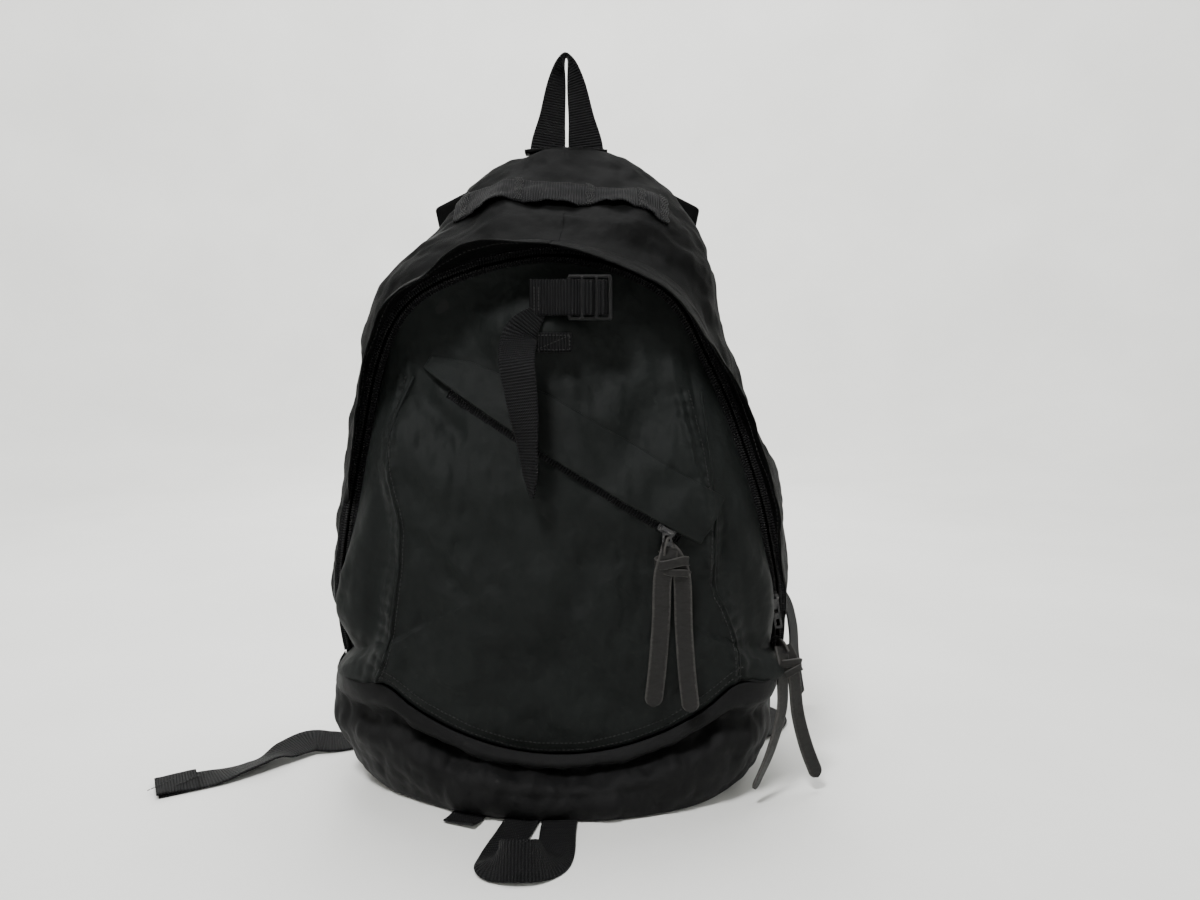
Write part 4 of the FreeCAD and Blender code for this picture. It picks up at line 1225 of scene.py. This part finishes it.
def make_side_pulls():
    boxes = {name: [np.array(corner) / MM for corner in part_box(name)]
             for name in ("upper_main_slider", "lower_main_slider", "upper_slider_tab", "lower_leather_pull")}
    middles = {name: (low + high) / 2 for name, (low, high) in boxes.items()}
    run = unit(middles["upper_main_slider"] - middles["lower_main_slider"])
    out = np.array([0, -1.0, 0])
    out = unit(out - run * out.dot(run))
    for name, body in (("upper_main_slider", "upper_slider"), ("lower_main_slider", "lower_slider")):
        make_slider(name + "_body", middles[name] - out * 1.5, run, out, body, [name], 8.0)
    top = middles["upper_main_slider"] + out * 4.2
    make_tab("upper_slider_tab_ring", top, (0.16, -0.12, -1), out, "upper_tab", ["upper_slider_tab"], 6.5, 19.0)
    low = middles["lower_main_slider"]
    x = low[0] - 7.0
    lace("lower_pull_lace_left", [(x + 4, -50, 110), (x + 5, -56, 101), (x + 4, -60, 88), (x + 3, -64, 66),
                                  (x - 6, -71, 38), (x - 19, -79, 13)],
         [(0.7, 0.7, 0.2)] + [(0.75, 0.65, 0.1)] * 2 + [(0.7, 0.7, 0.15), (0.65, 0.7, 0.3), (0.6, 0.7, 0.35)],
         11.5, "lower_pull", ["lower_leather_pull"])
    lace("lower_pull_lace_right", [(x + 8, -46, 110), (x + 12, -51, 101), (x + 14, -54, 86), (x + 17, -55, 60),
                                   (x + 24, -55, 34), (x + 33, -55, 11)],
         [(0.8, 0.5, 0.1)] * 3 + [(0.85, 0.5, 0.2), (0.82, 0.4, 0.4), (0.8, 0.4, 0.45)], 11.5, "lower_pull")
    knot_band("lower_pull_knot", (x + 9.0, -53, 100), (9.5, 4.8), 6.0, "lower_pull", -0.1)
    knot_band("lower_pull_knot_lower", (x + 10.5, -54.5, 93.5), (8.0, 4.4), 5.0, "lower_pull", 0.3)
    loop = [low + out * 4.5 + [-1.5, 0, -2], (x + 3.5, -40, 109), (x + 5.5, -47, 112), (x + 8.5, -51, 106)]
    ribbon("lower_pull_eye", loop, [(0.2, -0.3, 1)] * 4, 5.5, 2.0, "leather", "lower_pull", step=1.2)


# =====================================================================================================
# Crown fittings
# =====================================================================================================
TACKS = (-80.0, -36.0, 18.0, 58.0, 76.0)


def make_lash_strip(tree):
    rows, columns = 110, 9
    x = np.linspace(-87, 80, rows)
    y = np.linspace(19.0, -6.0, columns)
    p = np.array([[from_above(tree, a, b + (22.0 if a < 0 else 3.0) * (a / 85.0) ** 2) for b in y] for a in x])
    gap = np.min(np.abs(x[:, None] - np.array(TACKS)[None, :]), axis=1)
    arch = ramp01(gap, 3.0, 16.0)
    front = np.linspace(0, 1, columns) ** 2
    n = -grid_normals(p)
    n *= np.sign(n[..., 2:3])
    p = p + n * (1.0 + 0.5 * arch[:, None] + 3.0 * arch[:, None] * front[None, :])[..., None]
    cloth("lash_strip_webbing", p, "webbing", "pack_body", ["lash_strip"], 2.0, flip=False, offset=0.0)
    lines = []
    for tack in TACKS:
        i = int(np.argmin(np.abs(x - tack)))
        for shift in (-1, 0, 1, 2):
            k = min(max(i + shift, 1), rows - 2)
            lines.append([p[k + (1 if j % 2 else 0), j] + n[k, j] * 1.35 for j in range(columns)])
    stitches("lash_strip_bartack_threads", lines, "pack_body", pitch=2.2, length=1.7, radius=0.38,
             nodes=["lash_strip_bartacks"])


def make_haul_loop():
    top = 495.0
    route = [(-15.5, 66.5, top - 6), (-15.0, 67.0, top + 4), (-11.5, 67.5, top + 26), (-8.0, 68.0, top + 52),
             (-4.5, 68.0, top + 70), (0.0, 68.0, top + 77), (4.5, 68.0, top + 70), (8.5, 68.0, top + 52),
             (12.5, 67.5, top + 26), (16.0, 67.0, top + 4), (16.5, 66.5, top - 6)]
    across = [(1, 0, 0), (1, 0, 0), (0.98, 0.18, 0), (0.9, 0.42, 0), (0.5, 0.86, 0.1), (0.05, 1, 0),
              (-0.5, 0.86, 0.1), (-0.9, 0.42, 0), (-0.98, 0.18, 0), (-1, 0, 0), (-1, 0, 0)]
    widths = [29, 28.5, 22, 17, 13, 11, 13, 17, 22, 28.5, 29]
    ribbon("haul_loop_webbing", route, across, widths, 2.2, "webbing", "haul_loop", ["haul_loop"], step=1.6)
    bow = 0.0016
    bind = [(x, 67.0, top + 0.4 - bow * x * x) for x in np.linspace(-34, 34, 9)]
    ribbon("haul_loop_binding", bind, [(0, 1, 0)] * 9, 13.0, 3.4, "nylon_shell", "pack_body",
           ["haul_loop_anchor"])
    lines = [[(x, 67.0 + shift, top + 2.3 - bow * x * x) for x in np.linspace(-32, 32, 9)]
             for shift in (-3.5, 3.5)]
    stitches("haul_loop_stitches", lines, "pack_body", radius=0.34)


def patch(name, corners, bow, thickness, material, body, nodes, rows=10, columns=14):
    """A stitched fabric tab: a four-cornered sheet, a little crowned."""
    a, b, c, d = [np.array(corner, float) for corner in corners]
    v = np.linspace(0, 1, rows)[:, None, None]
    u = np.linspace(0, 1, columns)[None, :, None]
    p = (a * (1 - u) + b * u) * (1 - v) + (d * (1 - u) + c * u) * v
    p = p + np.array(bow) * (4 * u * (1 - u) * 4 * v * (1 - v))
    p = rumple(p, 18.0, 0.6, 2.0, edge_fade(rows, columns, 2, 2))
    return cloth(name, p, material, body, nodes, thickness, offset=0.0)


def make_tabs():
    # name, corners on the right-hand side, how the middle bows, thickness
    tabs = [("strap_wing", [(50, 90, 484), (114, 91, 452), (106, 90.5, 413), (50, 90, 434)], (0, 1.6, 0), 3.0),
            ("strap_anchor", [(103, 90.5, 9), (132, 91, 22), (151, 91, 19), (127, 90.5, 4)], (0, 0.8, 0), 2.8),
            ("belt_anchor", [(136, 34, 31), (164, 36, 4.5), (164, 62, 4.5), (138, 64, 31)], (0.8, 0, 0.8), 2.2)]
    for side, sign in SIDES:
        for name, corners, bow, thickness in tabs:
            mirrored = [(sign * x, y, z) for x, y, z in corners]
            patch(f"{name}_cloth_{side}", mirrored, (sign * bow[0], bow[1], bow[2]), thickness, "nylon_shell",
                  "pack_body", [f"{name}_{side}"])


# =====================================================================================================
# Pads, shoulder straps and belt
# =====================================================================================================
def pillow(name, place, body, nodes, rows=40, columns=24):
    """Closed pad. place(u, v) gives the middle surface, its normal and its half thickness, u and v -1 to 1."""
    u, v = np.meshgrid(np.linspace(-1, 1, columns), np.linspace(-1, 1, rows))
    middle, normal, half = place(u, v)
    thick = half * np.clip((1 - np.abs(u) ** 6) * (1 - np.abs(v) ** 10), 0, 1) ** 0.5 + 0.35
    near, far = middle - normal * thick[..., None], middle + normal * thick[..., None]
    count = rows * columns
    points = np.vstack([near.reshape(-1, 3), far.reshape(-1, 3)])
    faces = grid_faces(rows, columns)
    faces += [tuple(i + count for i in f) for f in grid_faces(rows, columns, flip=True)]
    rim = list(range(columns)) + [i * columns + columns - 1 for i in range(1, rows)]
    rim += [(rows - 1) * columns + j for j in range(columns - 2, -1, -1)]
    rim += [i * columns for i in range(rows - 2, 0, -1)]
    faces += [(b, a, a + count, b + count) for a, b in zip(rim, rim[1:] + rim[:1])]
    piece = add_piece(name, points, faces, "pad_fabric", body, nodes)
    return piece


def baked(piece):
    """Replaces a piece's mesh with its modified one."""
    graph = bpy.context.evaluated_depsgraph_get()
    graph.update()
    mesh = bpy.data.meshes.new_from_object(piece.evaluated_get(graph))
    old = piece.data
    piece.modifiers.clear()
    piece.data = mesh
    bpy.data.meshes.remove(old)


def puff_up(pieces, voxel=4.0, pressure=4.0, cap=3.2, frames=20):
    """Blows the pads up as cloth under pressure, all in one run, and keeps how far each point moved to cap."""
    before = {}
    for piece in pieces:
        modifier(piece, "REMESH", mode="VOXEL", voxel_size=voxel * MM, use_smooth_shade=True)
        baked(piece)
        before[piece.name] = coordinates(piece.data)
        sim = piece.modifiers.new("puff", "CLOTH")
        sim.settings.quality = 5
        sim.settings.mass = 0.15
        sim.settings.use_pressure = True
        sim.settings.uniform_pressure_force = pressure
        sim.settings.effector_weights.gravity = 0.0
        sim.point_cache.frame_start = 1
        sim.point_cache.frame_end = frames
    scene = bpy.context.scene
    for number in range(1, frames + 1):
        scene.frame_set(number)
    graph = bpy.context.evaluated_depsgraph_get()
    after = {piece.name: coordinates(piece.evaluated_get(graph).data).copy() for piece in pieces}
    for piece in pieces:
        move = after[piece.name] - before[piece.name]
        size = np.linalg.norm(move, axis=1, keepdims=True)
        move *= np.minimum(1, cap * MM / np.maximum(size, 1e-9))
        piece.modifiers.clear()
        piece.data.vertices.foreach_set("co", (before[piece.name] + move).ravel())
        piece.data.update()
    scene.frame_set(1)


def quilt(piece, lines, width, depth):
    """Presses sewn channels into a pad along lines of points, and adds one subdivision."""
    mesh = piece.data
    co = coordinates(mesh) / MM
    normals = np.empty(len(mesh.vertices) * 3)
    mesh.vertices.foreach_get("normal", normals)
    normals = normals.reshape(-1, 3)
    dense = np.vstack([curve_through(line, 2.0) for line in lines])
    near = np.full(len(co), 1e9)
    for start in range(0, len(co), 4000):
        block = co[start:start + 4000]
        near[start:start + 4000] = np.sqrt(((block[:, None] - dense[None]) ** 2).sum(axis=2)).min(axis=1)
    move = -depth * bell(near / width)
    mesh.vertices.foreach_set("co", ((co + normals * move[:, None]) * MM).ravel())
    mesh.update()
    modifier(piece, "SUBSURF", levels=1, render_levels=1)


def back_pad_place(x_half, z0, z1, y, half):
    def place(u, v):
        narrow = 1 - 0.10 * ramp01(v, 0.2, 1.0)
        x = u * x_half * narrow * (1 - 0.02 * v**4)
        z = (z0 + z1) / 2 + v * (z1 - z0) / 2 * (1 - 0.03 * u**4)
        middle = np.stack([x, np.full(u.shape, y), z], axis=2)
        return middle, np.array([0, 1.0, 0]) * np.ones(middle.shape), np.full(u.shape, half)
    return place


# (y, z) of a shoulder pad's middle line, from its top to its foot
PAD_LINE = np.array([(96.5, 462.0), (112.0, 438.0), (121.0, 390.0), (123.0, 320.0), (118.0, 240.0),
                     (108.0, 172.0)])


def shoulder_middle(v, sign):
    """Middle line of a shoulder pad: v runs from -1 at its top to 1 at its foot."""
    t = (v + 1) / 2 * 5
    y, z = hermite(t, np.arange(6), PAD_LINE[:, 0]), hermite(t, np.arange(6), PAD_LINE[:, 1])
    x = sign * (76.0 + 3.5 * np.sin((v + 0.1) * 2.6))
    return x, y, z


def shoulder_place(sign):
    def place(u, v):
        x, y, z = shoulder_middle(v, sign)
        dy = shoulder_middle(v + 0.01, sign)[1] - shoulder_middle(v - 0.01, sign)[1]
        dz = shoulder_middle(v + 0.01, sign)[2] - shoulder_middle(v - 0.01, sign)[2]
        size = np.maximum(np.hypot(dy, dz), 1e-6)
        normal = np.stack([np.zeros(u.shape), -dz / size, dy / size], axis=2)
        half_width = 15.0 + 11.5 * ramp01(v, -1.0, -0.45) - 6.0 * ramp01(v, 0.55, 1.0)
        middle = np.stack([x + u * half_width, y, z], axis=2)
        thick = 1.4 + 1.9 * ramp01(v, -0.95, -0.6)
        return middle, normal, thick
    return place


def make_pads():
    back = pillow("back_pad_cushion", back_pad_place(91, 154, 396, 91.2, 1.6), "pack_body", ["back_pad"])
    lumbar = pillow("lumbar_pad_cushion", back_pad_place(87, 42, 126, 91.4, 1.8), "pack_body", ["lumbar_pad"],
                    rows=24, columns=40)
    straps = [pillow(f"shoulder_pad_cushion_{side}", shoulder_place(sign), f"shoulder_strap_{side}",
                     [f"shoulder_pad_{side}"], rows=70, columns=18) for side, sign in SIDES]
    puff_up([back, lumbar] + straps)
    channels = [[(x, 96.0, z) for z in np.linspace(160, 390, 12)] for x in (-30.0, 30.0)]
    channels += [[(x, 96.0, z) for x in np.linspace(-84, 84, 12)] for z in (235.0, 315.0)]
    quilt(back, channels, 4.2, 2.6)
    channels = [[(x, 96.0, z) for z in np.linspace(46, 122, 6)] for x in (-30.0, 30.0)]
    quilt(lumbar, channels, 4.2, 2.6)
    for piece, (side, sign) in zip(straps, SIDES):
        lines = []
        v = np.linspace(-0.97, 0.97, 44)[:, None]
        for u in (-0.8, 0.8):
            place, normal, _ = shoulder_place(sign)(np.full(v.shape, u), v)
            lines += [place[:, 0] + normal[:, 0] * 4.0, place[:, 0] - normal[:, 0] * 4.0]
        quilt(piece, lines, 2.4, 1.0)
        for number, u in enumerate((-1.0, 1.0)):
            place, normal, _ = shoulder_place(sign)(np.full(v.shape, u), v)
            ribbon(f"shoulder_pad_binding_{side}_{number}", place[:, 0], normal[:, 0], 7.0, 2.6, "webbing",
                   f"shoulder_strap_{side}", step=3.0)
        place, normal, _ = shoulder_place(sign)(np.zeros(v.shape), v)
        middle = place[:, 0] + normal[:, 0] * np.where(v > -0.8, 4.9, 3.4)
        ribbon(f"shoulder_pad_webbing_{side}", middle[2:], [(1, 0, 0)] * len(middle[2:]), 20.0, 1.6, "webbing",
               f"shoulder_strap_{side}")
        tacks = []
        for k in (6, 16, 26, 36):
            centre = middle[k] + normal[k, 0] * 1.1
            tacks += [[centre + [dx, 0, dz] for dx in np.linspace(-8, 8, 5)] for dz in (-1.5, 0, 1.5)]
        stitches(f"shoulder_pad_bartacks_{side}", tacks, f"shoulder_strap_{side}", pitch=2.2, length=1.7,
                 radius=0.36)


def make_strap_webbing():
    for side, sign in SIDES:
        body = f"shoulder_strap_{side}"

        def place(points, sign=sign):
            tilt = math.radians(8)
            y = points[:, 1] * math.cos(tilt) - points[:, 2] * math.sin(tilt)
            z = points[:, 1] * math.sin(tilt) + points[:, 2] * math.cos(tilt)
            return np.stack([sign * 80 + points[:, 0], 105.0 + y, 154.0 + z], axis=1)

        parts = [bar_mesh(-17, -13, -2.2, 2.2, -16, 16), bar_mesh(13, 17, -2.2, 2.2, -16, 16)]
        for z0, z1, out in ((-16, -11.5, 0.0), (-3, 1, 1.6), (5, 9, 0.4), (12.5, 16, 0.0)):
            parts.append(bar_mesh(-15, 15, -2.0, 2.0 + out, z0, z1))
        moulded(f"strap_adjuster_frame_{side}", parts, "plastic", body, [f"strap_adjuster_{side}"], 0.9, place)
        foot, top = np.array([sign * 142, 93.5, 26.0]), np.array([sign * 84, 102.0, 152.0])
        down = unit(foot - top)
        across = unit(np.cross(down, [0, 1, 0]))
        route = [top, top * 0.75 + foot * 0.25 + [0, 1.2, 0], (top + foot) / 2 + [0, 1.5, 0],
                 top * 0.2 + foot * 0.8 + [0, 0.8, 0], foot, foot + down * 9 + [0, -0.5, 0]]
        ribbon(f"strap_webbing_run_{side}", route, [across] * 6, WEBBING, 1.9, "webbing", body,
               [f"strap_webbing_{side}"])
        joint = [(sign * 80, b, c) for b, c in ((109.5, 186), (109.0, 177), (107.0, 170), (103.0, 168.5),
                                                (104.0, 173), (106.0, 181))]
        ribbon(f"strap_pad_end_webbing_{side}", joint, [(1, 0, 0)] * 6, WEBBING, 1.8, "webbing", body, step=1.5)
        turn = [(sign * a, b, c) for a, b, c in ((80, 104.0, 168), (80, 108.6, 160), (80, 108.4, 152),
                                                 (80, 104.2, 147), (81, 102.0, 152))]
        ribbon(f"strap_webbing_turn_{side}", turn, [(1, 0, 0)] * 5, WEBBING, 1.8, "webbing", body, step=1.5)
    route = [(-80, 110.5, 146), (-80, 111.6, 136), (-80.5, 113.0, 116), (-80, 113.8, 90), (-79.5, 113.2, 64),
             (-80, 113, 41)]
    across = [(1, 0, 0), (1, 0, 0), (1, 0.08, 0), (1, 0.15, 0), (1, 0.05, 0), (1, 0, 0)]
    ribbon("strap_tail_webbing_left", route, across, WEBBING, 1.7, "webbing", "strap_tail_left",
           ["strap_tail_left"])
    route = [(94, 121, 139), (122, 121, 139.5), (150, 120, 135), (176, 119, 125.5), (199, 118, 103),
             (207, 117, 76), (209, 116, 45), (217, 116, 13)]
    across = [(0, 1, 0), (0.0, 1, 0.05), (0.05, 1, 0.1), (0.15, 1, 0.15), (0.35, 0.93, 0.1), (0.45, 0.89, 0.1),
              (0.5, 0.86, 0.15), (0.5, 0.86, 0.15)]
    ribbon("strap_tail_webbing_right", route, across, [25, 25, 25, 25, 25, 25, 25, 9], 1.8, "webbing",
           "strap_tail_right", ["strap_tail_right"])


def make_belt():
    route = [(-158, 49, 3.4), (-170, 40, 2.4), (-184, 31, 2.4), (-198, 25, 4.5), (-213, 21, 6.5),
             (-228, 6, 5.5), (-246, -15, 3.4), (-266, -32, 1.6), (-286, -44, 1.6), (-306, -55, 2.0)]
    across = [(0.1, 1, 0.1), (0.25, 0.95, 0), (0.3, 0.95, 0), (0.35, 0.93, 0.05), (0.4, 0.9, 0.1),
              (0.5, 0.86, 0.08), (0.5, 0.86, 0), (0.5, 0.86, 0), (0.48, 0.87, 0), (0.48, 0.87, 0.05)]
    ribbon("waist_belt_webbing_left", route, across, BELT_WEBBING, 2.0, "webbing", "waist_belt_left",
           ["waist_belt_left"])
    hem = [(-281, -41.5, 3.0), (-289, -46, 3.3), (-298, -50.5, 3.4), (-307.5, -55.5, 3.2)]
    ribbon("belt_hem_left", hem, [(0.48, 0.87, 0.02)] * 4, BELT_WEBBING + 0.4, 1.9, "webbing",
           "waist_belt_left", ["belt_end_left"])
    rows = []
    for k in (0.12, 0.2, 0.85):
        middle = np.array(hem[0]) * (1 - k) + np.array(hem[-1]) * k + [0, 0, 1.2]
        rows.append([middle + np.array([0.48, 0.87, 0]) * w for w in np.linspace(-12, 12, 7)])
    stitches("belt_hem_stitches_left", rows, "waist_belt_left", pitch=3.0, radius=0.36)
    route = [(160, 49, 3.6), (172, 62, 1.6), (181, 84, 1.4), (170, 105, 1.4), (146, 118, 1.4), (90, 125, 1.4),
             (30, 124, 1.4), (-30, 122, 1.4), (-55, 121, 1.4)]
    across = [(-0.7, 0.7, 0.1), (-0.9, 0.35, 0), (-1, -0.1, 0), (-0.7, -0.7, 0), (-0.2, -1, 0), (0, -1, 0),
              (0, -1, 0), (0, -1, 0), (0, -1, 0)]
    ribbon("waist_belt_webbing_right", route, across, BELT_WEBBING, 2.0, "webbing", "waist_belt_right",
           ["waist_belt_right"])
    hem = [(-31, 122, 3.2), (-42, 121.5, 3.4), (-59, 120.5, 3.3)]
    ribbon("belt_hem_right", hem, [(0, -1, 0)] * 3, BELT_WEBBING + 0.4, 1.9, "webbing", "waist_belt_right",
           ["belt_end_right"])
    rows = [[(x, 122 + w, 4.5) for w in np.linspace(-12, 12, 7)] for x in (-34, -37, -55)]
    stitches("belt_hem_stitches_right", rows, "waist_belt_right", pitch=3.0, radius=0.36)


def make_base_fittings():
    route = [(-24, -80, 2.0), (-25, -92, 1.5), (-31, -120, 1.5), (-39, -148, 2.2), (-41, -166, 8.0),
             (-31, -177, 13.5), (-15, -177, 13.5), (-4, -164, 8.0), (-1, -146, 2.4), (-1, -120, 1.5),
             (0, -92, 1.5), (0, -80, 2.0)]
    across = [(1, -0.1, 0), (1, -0.2, 0), (0.97, -0.25, 0), (0.9, -0.25, 0.2), (0.7, -0.2, 0.6),
              (0.2, 0.35, 0.9), (-0.2, 0.35, 0.9), (-0.7, 0.0, 0.7), (-0.95, -0.05, 0.2), (-1, 0, 0), (-1, 0, 0),
              (-1, 0, 0)]
    ribbon("base_loop_webbing", route, across, WEBBING, 1.9, "webbing", "base_loop", ["base_loop"], step=2.0)
    route = [(-60, -70, 1.5), (-63, -86, 1.5), (-67, -100, 1.8), (-71, -109, 3.0)]
    across = [(0.95, -0.3, 0), (0.93, -0.35, 0), (0.9, -0.45, 0), (0.85, -0.55, 0.1)]
    ribbon("base_stub_webbing", route, across, WEBBING, 1.9, "webbing", "pack_body", ["base_webbing_stub"],
           step=2.0)


# =====================================================================================================
# The whole object, then the floor, camera and light
# =====================================================================================================
FLOOR_SIDES = 96


def make_floor():
    """A pale studio floor that curves up into a round wall, in metres."""
    s = Shader("pale_floor")
    tone = s.noise(s.coords("Object"), 3.0, 4.0)
    s.finish(s.ramp(tone, 0.3, 0.7, (0.70, 0.70, 0.68), (0.76, 0.76, 0.74)), 0.6, None)
    bend = np.linspace(0, math.pi / 2, 14)
    radius = np.concatenate([[0.02, 0.8], 1.7 + 1.1 * np.sin(bend), [2.8]])
    height = np.concatenate([[0, 0], 1.1 * (1 - np.cos(bend)), [3.4]]) - 0.0003
    angle = np.linspace(0, 2 * math.pi, FLOOR_SIDES, endpoint=False)
    points = np.stack([radius[:, None] * np.cos(angle), radius[:, None] * np.sin(angle),
                       np.broadcast_to(height[:, None], (len(height), FLOOR_SIDES))], axis=2).reshape(-1, 3)
    mesh = bpy.data.meshes.new("floor")
    faces = grid_faces(len(height), FLOOR_SIDES, wrap=True) + [tuple(range(FLOOR_SIDES))]
    mesh.from_pydata(points.tolist(), [], faces)
    mesh.polygons.foreach_set("use_smooth", [True] * len(mesh.polygons))
    mesh.materials.append(s.material)
    floor = bpy.data.objects.new("floor", mesh)
    bpy.context.scene.collection.objects.link(floor)


def area_light(name, place, toward, size, energy, color=(1, 1, 1)):
    data = bpy.data.lights.new(name, "AREA")
    data.shape, data.size, data.energy, data.color = "DISK", size, energy, color
    lamp = bpy.data.objects.new(name, data)
    lamp.location = place
    lamp.rotation_euler = (Vector(toward) - Vector(place)).to_track_quat("-Z", "Y").to_euler()
    bpy.context.scene.collection.objects.link(lamp)


def make_stage():
    scene = bpy.context.scene
    camera = bpy.data.objects.new("camera", bpy.data.cameras.new("camera"))
    camera.data.sensor_width = 36.0
    camera.data.lens = 28.2
    camera.location = EYE * MM
    camera.rotation_euler = (math.radians(84.0), 0.0, 0.0)
    scene.collection.objects.link(camera)
    scene.camera = camera
    make_floor()
    area_light("key", (-0.5, -1.0, 2.0), (0, -0.05, 0.25), 0.45, 56.0)
    area_light("fill", (1.5, -1.7, 1.2), (0, 0, 0.2), 1.0, 4.0)
    area_light("rear", (-0.3, 1.8, 0.9), (0, 0, 0.25), 1.0, 9.0)
    area_light("wall", (0.0, 0.6, 2.4), (0.0, 2.6, 0.5), 1.6, 105.0)
    world = bpy.data.worlds.new("studio")
    world.use_nodes = True
    world.node_tree.nodes["Background"].inputs["Color"].default_value = (0.72, 0.73, 0.72, 1)
    world.node_tree.nodes["Background"].inputs["Strength"].default_value = 0.42
    scene.world = world


def make_backpack():
    shell = make_shell()
    make_hood()
    make_base()
    make_back()
    make_sleeve()
    make_main_zip()
    door = bvh_of(make_door())
    make_flap(door)
    make_pocket_zip(door)
    make_door_stitching(door)
    make_lash_tail(make_lash(door))
    make_pocket_pull(door)
    make_side_pulls()
    make_lash_strip(bvh_of(shell))
    make_haul_loop()
    make_tabs()
    make_pads()
    make_strap_webbing()
    make_belt()
    make_base_fittings()


make_backpack()
make_stage()
